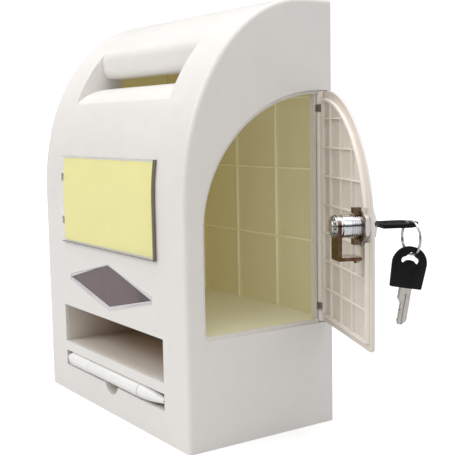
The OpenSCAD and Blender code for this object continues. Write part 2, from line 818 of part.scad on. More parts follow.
// Washer with a square hole behind the cam
module cam_stop_washer() color("silver") on_lock() difference() {
    rod_x(stop_washer_rear, cam_rear, stop_washer_radius);
    square_hole(stop_washer_rear, cam_rear);
}

// Toothed washer under the cam screw's head
module cam_star_washer() color("silver") on_lock() translate([star_rear, 0, 0]) rotate([0, 90, 0])
    linear_extrude(star_washer) difference() {
        polygon([for (i = [0:2 * star_teeth - 1])
            let (a = 180 * i / star_teeth, r = star_radius - star_notch * (i % 2)) [r * cos(a), r * sin(a)]]);
        circle(r = bolt_radius + slack);
    }

// Hexagon screw that holds the cam on the plug
module cam_screw() color("silver") on_lock() {
    rod_x(star_rear - merge, plug_rear + bolt_depth - slack, bolt_radius);
    translate([star_rear - bolt_head, 0, 0]) rotate([0, 90, 0])
        cylinder(h = bolt_head, r = bolt_flats / 2 / cos(30), $fn = 6);
}

// Flat tang that joins a blade to its bow
module key_tang(more) block([-tang_root, -tang_half - more, -tang_thick - more],
    [tang_length + more, tang_half + more, tang_thick + more]);

// Black bow of a key, its shoulder at x = 0 and its round end along +x
module key_bow() difference() {
    translate([0, 0, -bow_thick / 2]) linear_extrude(bow_thick) difference() {
        polygon(concat([[0, -bow_width / 2]],
            arc(bow_length - bow_round, 0, bow_round, bow_widest, -90, 90, arch_steps),
            [[0, bow_width / 2]]));
        for (s = [-1, 1]) translate([hole_u, s * hole_v]) circle(r = hole_radius);
        translate([peak_u, 0]) circle(r = peak_radius);
        translate([hole_u - hole_radius, -hole_v]) square([2 * hole_radius, 2 * hole_v]);
    }
    key_tang(seat);
}

// Steel blade of a key, its tang in the bow and its tip along -x
module key_blade() difference() {
    union() {
        key_tang(0);
        translate([0, 0, -blade_thick / 2]) linear_extrude(blade_thick) polygon(concat(
            [[0, blade_width / 2], [0, -blade_width / 2], [-shoulder, -blade_width / 2],
             [-shoulder - shoulder_slope, shoulder_slope - blade_width / 2]],
            [for (x = [-shoulder - bit_step : -bit_step : -blade_length + tip_round + bit_step / 2],
                    half = [0, 1])
                [x - half * bit_step / 2, blade_width / 2 - blade_narrow + bit_depth * half]],
            [[-blade_length + tip_round, blade_width / 2 - blade_narrow], [-blade_length, -tip_half],
             [-blade_length, tip_half], [-blade_length + tip_round, blade_width / 2]]));
    }
    for (s = [0, 1]) mirror([0, 0, s])
        block([-blade_length - cut, -groove_half, blade_thick / 2 - groove_depth],
            [-shoulder / 2, groove_half, blade_thick]);
}

// Key that stands in the lock
module lock_key_blade() color("silver") on_lock() translate([bow_start, 0, 0]) key_blade();
module lock_key_bow() color("dimgray") on_lock() translate([bow_start, 0, 0]) key_bow();

// Places what hangs on the ring: the ring's middle is below the bridge of the bow
module on_ring() on_lock() translate([bow_start + bridge_u, bridge_v, -ring_drop])
    rotate(ring_turn) children();

// Steel ring through both bows
module key_ring() color("silver") on_ring() rotate([90, 0, 0]) rotate_extrude()
    translate([ring_radius, 0]) circle(r = wire_radius);

// Places the spare key so that its hole hangs on the lowest point of the ring
module on_spare() on_ring() translate([0, 0, -ring_radius]) rotate([-spare_tilt, 0, 0]) rotate([0, -90, 0])
    translate([-hang_u, 0, 0]) children();

// Spare key that hangs on the ring
module spare_key_blade() color("silver") on_spare() key_blade();
module spare_key_bow() color("dimgray") on_spare() key_bow();

// Places what is turned round the pen's axis
module on_pen() from_front() translate([0, pen_y, pen_z]) children();

// Pen barrel with its thicker rear section and its ring at the nose
module pen_barrel() color("white") on_pen() turned_x([
    [barrel_start, button_radius + fit], [barrel_start, pen_thick_radius - rear_round],
    [barrel_start + rear_round, pen_thick_radius], [step_start, pen_thick_radius],
    [step_start + step_slope, pen_radius], [nose_start - pen_ring - step_slope, pen_radius],
    [nose_start - pen_ring, pen_thick_radius], [nose_start, pen_thick_radius],
    [nose_start, pen_bore], [barrel_start + pen_lip, pen_bore],
    [barrel_start + pen_lip, button_radius + fit]]);

// Tapered nose of the pen
module pen_nose() color("white") on_pen() turned_x([
    [nose_start, pen_bore], [nose_start, pen_radius], [pen_end - tip_length, tip_radius],
    [pen_end, tip_end], [pen_end, refill_radius + near],
    [spring_start + spring_length, refill_radius + near], [spring_start + spring_length, pen_bore]]);

// Push button of the pen, with the flange that keeps it in
module pen_button() color("white") on_pen() turned_x([
    [pen_start, 0], [pen_start, button_radius - step_slope], [pen_start + step_slope, button_radius],
    [barrel_start + pen_lip + slack, button_radius], [barrel_start + pen_lip + slack, button_flange],
    [button_end, button_flange], [button_end, 0]]);

// Ink refill with the collar that presses the spring
module pen_refill() color("gold") on_pen() let (rear = spring_start - button_travel - slack) turned_x([
    [button_end, 0], [button_end, refill_radius], [rear - collar_length, refill_radius],
    [rear - collar_length, collar_radius], [rear, collar_radius], [rear, refill_radius],
    [refill_end - collar_length, refill_radius], [refill_end, refill_point], [refill_end, 0]]);

// Closed spring of the pen, seated in the nose
module pen_spring() color("silver") on_pen() difference() {
    rod_x(spring_start, spring_start + spring_length, pen_bore - slack);
    rod_x(spring_start - cut, spring_start + spring_length + cut, refill_radius + slack);
}

housing();
back_panel();
back_screws();
compartment_floor();
card_tray();
pen_trough();
window_bezel();
window_pane();
label_card();
label_cover();
hinge_pins();
door_panel();
lock_barrel();
lock_nut();
lock_washer();
lock_plug();
lock_cam();
cam_stop_washer();
cam_star_washer();
cam_screw();
lock_key_blade();
lock_key_bow();
key_ring();
spare_key_blade();
spare_key_bow();
pen_barrel();
pen_nose();
pen_button();
pen_refill();
pen_spring();
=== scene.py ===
"""Wall ballot box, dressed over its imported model.

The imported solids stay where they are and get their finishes. The pieces that need finer
forms, such as the split key ring, the key bows and the lock's nut, are built here.
Lengths are in metres unless a name or a docstring says millimetres.
"""

from __future__ import annotations

import logging
import math
from dataclasses import dataclass
from enum import Enum
from typing import Callable, Sequence

import bmesh
import bpy
from mathutils import Matrix, Vector


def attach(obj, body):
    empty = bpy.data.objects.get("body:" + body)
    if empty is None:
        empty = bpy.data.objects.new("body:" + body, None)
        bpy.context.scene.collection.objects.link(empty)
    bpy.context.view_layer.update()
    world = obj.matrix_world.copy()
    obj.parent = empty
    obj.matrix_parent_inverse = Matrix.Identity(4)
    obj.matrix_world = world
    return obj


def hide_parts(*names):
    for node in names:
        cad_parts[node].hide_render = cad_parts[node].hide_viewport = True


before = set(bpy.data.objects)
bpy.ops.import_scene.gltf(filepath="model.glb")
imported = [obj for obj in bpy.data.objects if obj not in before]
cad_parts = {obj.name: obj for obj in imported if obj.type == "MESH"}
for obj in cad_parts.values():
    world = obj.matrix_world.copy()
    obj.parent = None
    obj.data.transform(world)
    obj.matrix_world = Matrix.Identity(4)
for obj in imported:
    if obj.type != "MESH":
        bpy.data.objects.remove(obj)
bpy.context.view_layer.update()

LOG = logging.getLogger("ballot_box")
MM = 0.001
WELD = 0.001 * MM
FINE_WELD = 0.0001 * MM

Colour = tuple[float, float, float]
Profile = list[tuple[float, float]]
Ring = list[Vector]


def paint(red: int, green: int, blue: int) -> Colour:
    """Turns a colour of 0 to 255, as it looks on a screen, into scene values.

    Args:
        red: Red share.
        green: Green share.
        blue: Blue share.

    Returns:
        The three linear values.
    """
    def linear(value: float) -> float:
        """Undoes the screen curve of one share."""
        return value / 12.92 if value <= 0.04045 else ((value + 0.055) / 1.055) ** 2.4
    return linear(red / 255), linear(green / 255), linear(blue / 255)


def shade(colour: Colour, factor: float, lift: float = 0.0) -> Colour:
    """A colour times a factor and with a lift, no part of it above white."""
    return tuple(min(1.0, part * factor + lift) for part in colour)


class Wire:
    """A shader socket that takes part in sums."""

    def __init__(self, tree: "Tree", socket: bpy.types.NodeSocket) -> None:
        """Keeps the socket and the tree that it is in."""
        self.tree = tree
        self.socket = socket

    def _sum(self, operation: str, first: "Wire | float", second: "Wire | float") -> "Wire":
        """Result of one Math node on two values."""
        return self.tree.make("ShaderNodeMath", {"operation": operation}, {0: first, 1: second})

    def __add__(self, other: "Wire | float") -> "Wire":
        """Sum."""
        return self._sum("ADD", self, other)

    def __radd__(self, other: float) -> "Wire":
        """Sum, reflected."""
        return self._sum("ADD", other, self)

    def __sub__(self, other: "Wire | float") -> "Wire":
        """Difference."""
        return self._sum("SUBTRACT", self, other)

    def __rsub__(self, other: float) -> "Wire":
        """Difference, reflected."""
        return self._sum("SUBTRACT", other, self)

    def __mul__(self, other: "Wire | float") -> "Wire":
        """Product."""
        return self._sum("MULTIPLY", self, other)

    def __rmul__(self, other: float) -> "Wire":
        """Product, reflected."""
        return self._sum("MULTIPLY", other, self)

    def __truediv__(self, other: "Wire | float") -> "Wire":
        """Quotient."""
        return self._sum("DIVIDE", self, other)

    def __rtruediv__(self, other: float) -> "Wire":
        """Quotient, reflected."""
        return self._sum("DIVIDE", other, self)

    def __gt__(self, other: "Wire | float") -> "Wire":
        """One where this is greater, else zero."""
        return self._sum("GREATER_THAN", self, other)

    def __lt__(self, other: "Wire | float") -> "Wire":
        """One where this is less, else zero."""
        return self._sum("LESS_THAN", self, other)

    def size(self) -> "Wire":
        """The value without its sign."""
        return self._sum("ABSOLUTE", self, 0.0)


class Tree:
    """The node tree of one material or of the world."""

    def __init__(self, tree: bpy.types.NodeTree) -> None:
        """Empties the tree.

        Args:
            tree: The node tree of a material or of the world.
        """
        self.tree = tree
        tree.nodes.clear()
        self._place: Wire | None = None

    def make(self, kind: str, settings: dict[str, object] | None = None,
             sockets: dict[str | int, object] | None = None, output: str | int = 0) -> Wire:
        """Adds one node.

        Args:
            kind: The node's type.
            settings: Its settings, set before its sockets.
            sockets: Values or wires of its sockets, by name or number.
            output: The output to return.

        Returns:
            The chosen output.
        """
        node = self.tree.nodes.new(kind)
        for name, value in (settings or {}).items():
            setattr(node, name, value)
        for name, value in (sockets or {}).items():
            socket = node.inputs[name]
            if isinstance(value, Wire):
                self.tree.links.new(value.socket, socket)
            else:
                socket.default_value = (*value, 1.0) if socket.type == "RGBA" and len(value) == 3 else value
        return Wire(self, node.outputs[output] if node.outputs else node.inputs[0])

    def place(self) -> Wire:
        """Coordinates of the piece in metres, from one node.

        Returns:
            The coordinates.
        """
        if self._place is None:
            self._place = self.make("ShaderNodeTexCoord", output="Object")
        return self._place

    def axes(self, vector: Wire) -> tuple[Wire, Wire, Wire]:
        """The three parts of a vector.

        Args:
            vector: The vector.

        Returns:
            Its x, y and z.
        """
        x = self.make("ShaderNodeSeparateXYZ", {}, {0: vector})
        outputs = x.socket.node.outputs
        return x, Wire(self, outputs[1]), Wire(self, outputs[2])

    def along(self, vector: Wire, direction: Wire | Sequence[float]) -> Wire:
        """Dot product of a vector with a direction."""
        settings = {"operation": "DOT_PRODUCT"}
        return self.make("ShaderNodeVectorMath", settings, {0: vector, 1: direction}, "Value")

    def noise(self, scale: float, detail: float = 3.0, rough: float = 0.55,
              stretch: Sequence[float] = (1.0, 1.0, 1.0), shift: float = 0.0) -> Wire:
        """Noise from 0 to 1 over the piece.

        Args:
            scale: Waves in a metre.
            detail: Octaves.
            rough: Share of the finer octaves.
            stretch: Factor of each direction.
            shift: Moves the pattern, so that two noises differ.

        Returns:
            The noise.
        """
        where = self.make("ShaderNodeVectorMath", {"operation": "MULTIPLY_ADD"},
                          {0: self.place(), 1: tuple(stretch), 2: (shift, shift * 0.7, -shift)})
        return self.make("ShaderNodeTexNoise", {}, {"Vector": where, "Scale": scale, "Detail": detail,
                                                    "Roughness": rough})

    def span(self, value: Wire, low: float, high: float, start: float = 0.0, end: float = 1.0) -> Wire:
        """Runs smoothly from start to end while a value runs from low to high."""
        return self.make("ShaderNodeMapRange", {"interpolation_type": "SMOOTHSTEP"},
                         {"Value": value, "From Min": low, "From Max": high, "To Min": start, "To Max": end})

    def mix(self, factor: Wire | float, first: Wire | Colour, second: Wire | Colour) -> Wire:
        """Mixes two colours by the share of the second."""
        return self.make("ShaderNodeMix", {"data_type": "RGBA"}, {0: factor, 6: first, 7: second}, 2)

    def bump(self, height: Wire, depth: float, under: Wire | None = None) -> Wire:
        """A normal from a height.

        Args:
            height: Height from 0 to 1.
            depth: Real depth of the height.
            under: Normal to start from.

        Returns:
            The normal.
        """
        sockets: dict[str | int, object] = {"Height": height, "Distance": depth, "Strength": 1.0}
        if under is not None:
            sockets["Normal"] = under
        return self.make("ShaderNodeBump", {}, sockets)

    def rounded(self, radius: float) -> Wire:
        """Normal with its edges rounded by a radius."""
        return self.make("ShaderNodeBevel", {"samples": 4}, {"Radius": radius})

    def edges(self, normal: Wire) -> Wire:
        """How much a rounded normal leans away from its face, 0 on flats."""
        face = self.make("ShaderNodeNewGeometry", output="Normal")
        return self.span(1 - self.along(normal, face), 0.01, 0.25)

    def close(self, **sockets: object) -> None:
        """Adds the main shader with these sockets and its output.

        Args:
            sockets: Values or wires, with underscores for spaces.
        """
        named = {name.replace("_", " "): value for name, value in sockets.items()}
        shader = self.make("ShaderNodeBsdfPrincipled", {}, named)
        self.make("ShaderNodeOutputMaterial", {}, {"Surface": shader})


OUTSIDE = paint(228, 225, 221)
NO_LIGHT = (0.0, 0.0, 0.0)
FULL_LIGHT = (1.0, 1.0, 1.0)
DOOR_ANGLE = 67.2
HALF_DEPTH = 55.0
HINGE_X = 97.0
HINGE_Y = 104.0
HINGE = (HINGE_X * MM, (HINGE_Y - HALF_DEPTH) * MM)
THROUGH_DOOR = (math.cos(math.radians(DOOR_ANGLE)), math.sin(math.radians(DOOR_ANGLE)), 0.0)
ACROSS_DOOR = (THROUGH_DOOR[1], -THROUGH_DOOR[0], 0.0)


class Slot(Enum):
    """Material slots of the record."""

    SHELL = "cream_shell"
    TRAY = "tray_plastic"
    DOOR = "door_plastic"
    BEZEL = "bezel_plastic"
    PANE = "smoke_pane"
    CARD = "yellow_card"
    COVER = "clear_cover"
    CHROME = "chrome"
    NICKEL = "nickel"
    BRONZED = "bronzed_steel"
    CAM = "cam_steel"
    STEEL = "steel"
    ZINC = "zinc"
    KEY = "key_steel"
    RING = "ring_steel"
    BLACK = "black_plastic"
    PEN = "pen_white"
    BRASS = "refill_brass"


@dataclass(frozen=True)
class Finish:
    """What one surface is made of."""

    name: str
    slot: Slot
    colour: Colour

    def build(self, tree: Tree) -> None:
        """Builds the finish's nodes."""
        raise NotImplementedError

    def material(self) -> bpy.types.Material:
        """The finish's material, made once.

        Returns:
            The material.
        """
        found = bpy.data.materials.get(self.name)
        if found is None:
            found = bpy.data.materials.new(self.name)
            found.use_nodes = True
            self.build(Tree(found.node_tree))
            found.diffuse_color = (*self.colour, 1.0)
        return found


@dataclass(frozen=True)
class Moulded(Finish):
    """Injection-moulded plastic: fine grain, slow waves, rounded and rubbed edges.

    Its patterns are counted in waves to the metre.
    """

    rough: float = 0.42
    edge: float = 0.5 * MM
    grain: float = 0.006 * MM
    gloss: float = 0.5
    # Painted light and shade: by kind of moulding, the second tone below is a painted warm shade, a painted
    # highlight or painted shade, and on the pen it is the dark of its joints; the glow is a painted glow of
    # the masked faces.
    painted_light_and_joint_tone: Colour = NO_LIGHT
    glow: Colour = NO_LIGHT
    painted_glow_near: Colour = NO_LIGHT
    door_side: float = 90 * MM
    waves: float = 14.0
    clouds: float = 95.0
    specks: float = 1500.0
    grains: float = 3200.0
    wave_depth: float = 0.05 * MM
    darker: float = 0.975
    lighter: float = 1.012
    rubbed_tone: float = 1.1
    speck_tone: float = 0.72

    def painted_light_mask(self, tree: Tree) -> Wire | None:
        """Mask of the faces that get a painted glow; a plain moulding has none."""
        return None

    def tint(self, tree: Tree, base: Wire) -> Wire:
        """Colour of the moulding before its edges are rubbed; the plain moulding keeps its base."""
        return base

    def build(self, tree: Tree) -> None:
        """Builds the moulding's nodes.

        Args:
            tree: The material's tree.
        """
        slow = tree.noise(self.waves, 2.0)
        cloud = tree.noise(self.clouds, 4.0, 0.6, shift=3.1)
        speck = tree.span(tree.noise(self.specks, 2.0, 0.6, shift=5.7), 0.66, 0.8)
        fine = tree.noise(self.grains, 2.0, 0.7, shift=1.3)
        normal = tree.rounded(self.edge)
        rubbed = tree.edges(normal) * tree.span(cloud, 0.3, 0.7, 0.35, 1.0)
        base = tree.mix(tree.span(slow * 0.6 + cloud * 0.4, 0.34, 0.66),
                        shade(self.colour, self.darker), shade(self.colour, self.lighter))
        base = tree.mix(rubbed * 0.3, self.tint(tree, base), shade(self.colour, self.rubbed_tone))
        base = tree.mix(speck * 0.1, base, shade(self.colour, self.speck_tone))
        normal = tree.bump(fine, self.grain, tree.bump(slow, self.wave_depth, normal))
        rough = self.rough + (cloud - 0.5) * 0.14 + (fine - 0.5) * 0.08 + rubbed * 0.06
        # Painted light: the masked faces glow, paler towards the door side, in place of daylight from the
        # open door.
        light: dict[str, object] = {}
        painted_light_mask = self.painted_light_mask(tree)
        if painted_light_mask is not None:
            x, _, _ = tree.axes(tree.place())
            painted_daylight = tree.mix(tree.span(x, -self.door_side, self.door_side), self.glow, self.painted_glow_near)
            light = {"Emission_Color": tree.mix(painted_light_mask, NO_LIGHT, painted_daylight), "Emission_Strength": 1.0}
        tree.close(Base_Color=base, Roughness=rough, Normal=normal, IOR=1.49, Specular_IOR_Level=self.gloss,
                   **light)


@dataclass(frozen=True)
class HingeGapShade:
    """Painted shade in the two gaps beside the hinge pins."""

    colour: Colour = (0.1, 0.075, 0.055)
    reach: float = 4.2 * MM
    half: float = 2.5 * MM
    soft_from: float = 2.0 * MM
    strength: float = 0.85
    middles: tuple[float, float] = (77.1 * MM, 202.9 * MM)

    def over(self, tree: Tree, base: Wire) -> Wire:
        """Paints shade over a colour where the gaps are.

        Args:
            tree: The material's tree.
            base: Colour beside the gaps.

        Returns:
            The colour with the painted shade of its gaps.
        """
        x, y, z = tree.axes(tree.place())
        across, along = x - HINGE[0], y - HINGE[1]
        near = across * across + along * along < self.reach ** 2
        lower, upper = (tree.span((z - middle).size(), self.soft_from, self.half, self.strength, 0.0)
                        for middle in self.middles)
        return tree.mix(near * (lower + upper), base, self.colour)


GAP_SHADE = HingeGapShade()


@dataclass(frozen=True)
class Shell(Moulded):
    """Moulded housing, with painted light on the faces within it: a painted warm shade and a painted glow
    that stand in for daylight from the open door, and painted shade in the hinge gaps.
    """

    left: float = -98.5 * MM
    right: float = 93.5 * MM
    front: float = -53.7 * MM
    low: float = 66 * MM
    arch_y: float = 35 * MM
    arch_z: float = 148 * MM
    reach_y: float = 88.7 * MM
    reach_z: float = 120.7 * MM
    recess_half: float = 67.3 * MM
    recess_low: float = 194.6 * MM
    recess_back: float = -3 * MM
    panel: float = 51.8 * MM

    def painted_light_mask(self, tree: Tree) -> Wire:
        """Mask of the faces within the housing, which get the painted warm shade and glow.

        Args:
            tree: The material's tree.

        Returns:
            The mask.
        """
        x, y, z = tree.axes(tree.place())
        lean = (y - self.arch_y) / self.reach_y
        rise = (z - self.arch_z) / self.reach_z
        beyond = (lean * lean + rise * rise > 1.0) * (z > self.arch_z) * (y < self.arch_y)
        recess = (x.size() < self.recess_half) * (z > self.recess_low) * (y < self.recess_back)
        across = (x > self.left) * (x < self.right) * (y > self.front) * (y < self.panel)
        return across * (z > self.low) * (z < self.arch_z + self.reach_z) * (1 - beyond) * (1 - recess)

    def tint(self, tree: Tree, base: Wire) -> Wire:
        """Paints a warm shade on the faces within the housing, and painted shade in the hinge gaps."""
        return GAP_SHADE.over(tree, tree.mix(self.painted_light_mask(tree), base, self.painted_light_and_joint_tone))


@dataclass(frozen=True)
class Inner(Moulded):
    """Moulding that lies wholly within the housing: a painted glow on all but its outer face, and a painted
    highlight on its rib crests.
    """

    rib_highlight_from: float = -1.0
    rib_highlight_to: float = -1.0
    outside_from: float = 52.6 * MM

    def painted_light_mask(self, tree: Tree) -> Wire:
        """Mask of all faces but the outer one, which get the painted glow."""
        return tree.axes(tree.place())[1] < self.outside_from

    def tint(self, tree: Tree, base: Wire) -> Wire:
        """Paints a highlight on the crests of the ribs.

        Args:
            tree: The material's tree.
            base: Colour of the field.

        Returns:
            Colour of the moulding.
        """
        _, y, _ = tree.axes(tree.place())
        # Painted highlight on the rib crests; the outer face keeps the housing's own colour.
        base = tree.mix(tree.span(y, self.rib_highlight_from, self.rib_highlight_to), base, self.painted_light_and_joint_tone)
        return tree.mix(y > self.outside_from, base, OUTSIDE)


@dataclass(frozen=True)
class Ribbed(Moulded):
    """Ribbed side of the open door: a painted highlight on its ribs and raised edge, its field a painted
    shaded copy of the plastic, and painted shade in the hinge gaps.
    """

    rib_highlight_at: float = 0.75 * MM
    highlight_gone_at: float = 1.05 * MM
    face_from: float = 1.365 * MM
    face_to: float = 2.1 * MM

    def tint(self, tree: Tree, base: Wire) -> Wire:
        """Paints a highlight on what stands up from the field, and gives the outer face the housing's own
        colour.

        Args:
            tree: The material's tree.
            base: Colour of the field.

        Returns:
            Colour of the moulding.
        """
        start = HINGE[0] * THROUGH_DOOR[0] + HINGE[1] * THROUGH_DOOR[1]
        depth = tree.along(tree.place(), THROUGH_DOOR) - start
        # Painted highlight on the ribs and raised edge over the painted shade of the field.
        base = tree.mix(tree.span(depth, self.rib_highlight_at, self.highlight_gone_at, 1.0, 0.0), base, self.painted_light_and_joint_tone)
        return GAP_SHADE.over(tree, tree.mix(tree.span(depth, self.face_from, self.face_to), base, OUTSIDE))


@dataclass(frozen=True)
class Grooved(Moulded):
    """Gloss moulding with fine dark joint lines across its length."""

    joints: tuple[float, ...] = ()
    half: float = 0.16 * MM
    soft_from: float = 0.08 * MM
    strength: float = 0.55

    def tint(self, tree: Tree, base: Wire) -> Wire:
        """Draws the joint lines.

        Args:
            tree: The material's tree.
            base: Colour of the moulding.

        Returns:
            Colour with its joints.
        """
        x, _, _ = tree.axes(tree.place())
        for joint in self.joints:
            line = tree.span((x - joint).size(), self.soft_from, self.half, self.strength, 0.0)
            base = tree.mix(line, base, self.painted_light_and_joint_tone)
        return base


@dataclass(frozen=True)
class Pocket(Moulded):
    """Moulded pocket with painted shade that deepens, darker and browner, towards its back."""

    mouth: float = -52.4 * MM
    back: float = 5 * MM

    def tint(self, tree: Tree, base: Wire) -> Wire:
        """Paints shade that deepens towards the pocket's back."""
        _, y, _ = tree.axes(tree.place())
        return tree.mix(tree.span(y, self.mouth, self.back), base, self.painted_light_and_joint_tone)


@dataclass(frozen=True)
class Clear(Finish):
    """See-through sheet with faint scratches and finger marks, which are counted in waves to the metre.

    Its painted dark border stands in for shade in the gaps round a cover and for a dark reflection on a pane;
    each stretch of it has the place where it is strongest, and its strength there.
    """

    alpha: float = 0.2
    rough: float = 0.08
    painted_dark: Colour = NO_LIGHT
    painted_dark_alpha: float = 0.0
    right_from: float = 1.0
    low_to: float = -1.0
    high_from: float = 1.0
    left_to: float = -1.0
    low_dark: float = 0.75
    high_dark: float = 0.4
    left_dark: float = 0.9
    blend: float = 0.25 * MM
    edge: float = 0.25 * MM
    marks: float = 60.0
    scratches: float = 900.0
    mark_depth: float = 0.02 * MM

    def painted_dark_mask(self, tree: Tree) -> Wire:
        """Mask of the painted dark border: painted shadow in the gaps along the sheet's edges, and on the
        pane a painted dark reflection towards its right end.

        Args:
            tree: The material's tree.

        Returns:
            The mask.
        """
        x, _, z = tree.axes(tree.place())
        right = tree.span(x, self.right_from - self.blend, self.right_from)
        low = tree.span(z, self.low_to, self.low_to + self.blend, self.low_dark, 0.0)
        high = tree.span(z, self.high_from - self.blend, self.high_from, 0.0, self.high_dark)
        left = tree.span(x, self.left_to, self.left_to + self.blend, self.left_dark, 0.0)
        return tree.span(right + low + high + left, 0, 1)

    def build(self, tree: Tree) -> None:
        """Builds the sheet's nodes.

        Args:
            tree: The material's tree.
        """
        painted_dark = self.painted_dark_mask(tree)
        marks = tree.noise(self.marks, 5.0, 0.65, shift=2.2)
        lines = tree.noise(self.scratches, 3.0, 0.5, (0.05, 1.0, 1.0), 4.4)
        rough = self.rough + tree.span(marks, 0.45, 0.75) * 0.12 + tree.span(lines, 0.62, 0.8) * 0.1
        base = tree.mix(tree.span(marks, 0.3, 0.8), self.colour, shade(self.colour, 1.06, 0.01))
        # Painted shade: the border turns dark and nearly opaque.
        base = tree.mix(painted_dark, base, self.painted_dark)
        normal = tree.bump(marks, self.mark_depth, tree.rounded(self.edge))
        alpha = self.alpha + painted_dark * (self.painted_dark_alpha - self.alpha)
        tree.close(Base_Color=base, Roughness=rough, Normal=normal, Alpha=alpha, IOR=1.5,
                   Specular_IOR_Level=0.7)


@dataclass(frozen=True)
class Card(Finish):
    """Dyed card with short fibres and a soft, matt face; its patterns are in waves to the metre."""

    rough: float = 0.78
    fibres: float = 4200.0
    clouds: float = 45.0
    fibre_depth: float = 0.003 * MM
    fibre_tone: Colour = (0.8, 0.76, 0.6)

    def build(self, tree: Tree) -> None:
        """Builds the card's nodes.

        Args:
            tree: The material's tree.
        """
        fibre = tree.noise(self.fibres, 4.0, 0.7, (1.0, 1.0, 0.35))
        cloud = tree.noise(self.clouds, 3.0, shift=6.1)
        base = tree.mix(tree.span(cloud, 0.3, 0.7), shade(self.colour, 0.965), self.colour)
        dark = tuple(part * tone for part, tone in zip(self.colour, self.fibre_tone))
        base = tree.mix(tree.span(fibre, 0.58, 0.75) * 0.07, base, dark)
        rough = self.rough + (fibre - 0.5) * 0.2
        tree.close(Base_Color=base, Roughness=rough, Normal=tree.bump(fibre, self.fibre_depth), IOR=1.45)


@dataclass(frozen=True)
class Plated(Finish):
    """Plated metal: polish lines along one direction, faint clouding and small pits.

    Its patterns are counted in waves to the metre.
    """

    rough: float = 0.14
    lines: float = 0.05
    grain: tuple[float, float, float] = (1.0, 1.0, 0.08)
    edge: float = 0.15 * MM
    stain: Colour = (0.2, 0.18, 0.16)
    stained: float = 0.12
    brushes: float = 2400.0
    clouds: float = 240.0
    pits: float = 2800.0
    line_depth: float = 0.02 * MM

    def tint(self, tree: Tree, base: Wire) -> Wire:
        """Colour of the metal after its special faces; plain metal keeps its base."""
        return base

    def build(self, tree: Tree) -> None:
        """Builds the metal's nodes.

        Args:
            tree: The material's tree.
        """
        brush = tree.noise(self.brushes, 3.0, 0.6, self.grain)
        cloud = tree.noise(self.clouds, 4.0, 0.6, shift=2.7)
        pits = tree.span(tree.noise(self.pits, 2.0, 0.5, shift=8.2), 0.7, 0.8)
        normal = tree.rounded(self.edge)
        dull = tree.span(cloud, 0.42, 0.78)
        base = self.tint(tree, tree.mix(dull * self.stained + pits * 0.25, self.colour, self.stain))
        base = tree.mix(tree.edges(normal) * 0.35, base, shade(self.colour, 1.25, 0.04))
        rough = self.rough + (brush - 0.5) * (self.lines * 2) + dull * 0.07 + pits * 0.1
        normal = tree.bump(brush, self.lines * self.line_depth, normal)
        tree.close(Base_Color=base, Metallic=1.0, Roughness=rough, Normal=normal)


@dataclass(frozen=True)
class Stamped(Plated):
    """Stamped steel whose sheared edges and flat backs are browned."""

    brown: Colour = (0.125, 0.055, 0.024)
    patches: float = 420.0

    def tint(self, tree: Tree, base: Wire) -> Wire:
        """Browns the faces that look across the plate and back along the lock.

        Args:
            tree: The material's tree.
            base: Colour of the plating.

        Returns:
            Colour of the metal.
        """
        face = tree.make("ShaderNodeNewGeometry", output="True Normal")
        edge = tree.span(tree.along(face, ACROSS_DOOR).size(), 0.75, 0.95)
        back = tree.span(tree.along(face, THROUGH_DOOR).size(), 0.8, 0.95)
        patch = tree.span(tree.noise(self.patches, 3.0, shift=9.3), 0.3, 0.6, 0.88, 1.0)
        return tree.mix(tree.span(edge + back, 0, 1) * patch, base, self.brown)


# Painted glow of the faces within the housing, paler near the door, standing in for daylight from the open
# door; the shell's second tone there is a painted warm shade.
PAINTED_GLOW = (0.083, 0.066, 0.028)
PAINTED_GLOW_NEAR = (0.115, 0.105, 0.07)
SHELL = Shell("cream_shell_moulded", Slot.SHELL, OUTSIDE, painted_light_and_joint_tone=paint(214, 210, 172), glow=PAINTED_GLOW,
              painted_glow_near=PAINTED_GLOW_NEAR)
# The door's field colour is a painted shaded copy of the housing's plastic, and its second tone a painted
# highlight on the ribs.
DOOR = Ribbed("door_moulded", Slot.DOOR, paint(222, 212, 202), painted_light_and_joint_tone=paint(242, 236, 228), rough=0.4,
              edge=0.35 * MM)
# Floor and back panel: their colours are painted warm shade with a painted glow, and the back panel's second
# tone is a painted highlight on its rib crests.
PLATE = Inner("compartment_plate", Slot.SHELL, paint(222, 219, 192), edge=0.3 * MM, glow=(0.045, 0.038, 0.02),
              painted_glow_near=(0.095, 0.09, 0.065), painted_light_and_joint_tone=paint(222, 219, 192))
BACK = Inner("back_plate", Slot.SHELL, paint(212, 206, 166), edge=0.35 * MM, glow=PAINTED_GLOW, painted_glow_near=PAINTED_GLOW_NEAR,
             painted_light_and_joint_tone=paint(238, 235, 210), rib_highlight_from=52.1 * MM, rib_highlight_to=51.0 * MM)
# Pockets: the second tone is painted shade towards the back.
TRAY = Pocket("tray_moulded", Slot.TRAY, paint(222, 214, 204), painted_light_and_joint_tone=paint(176, 154, 130), edge=0.4 * MM)
TROUGH = Pocket("trough_moulded", Slot.SHELL, paint(222, 217, 211), painted_light_and_joint_tone=paint(208, 203, 197),
                edge=0.4 * MM, back=-32 * MM)
BEZEL = Moulded("bezel_moulded", Slot.BEZEL, paint(212, 210, 212), rough=0.2, edge=0.2 * MM)
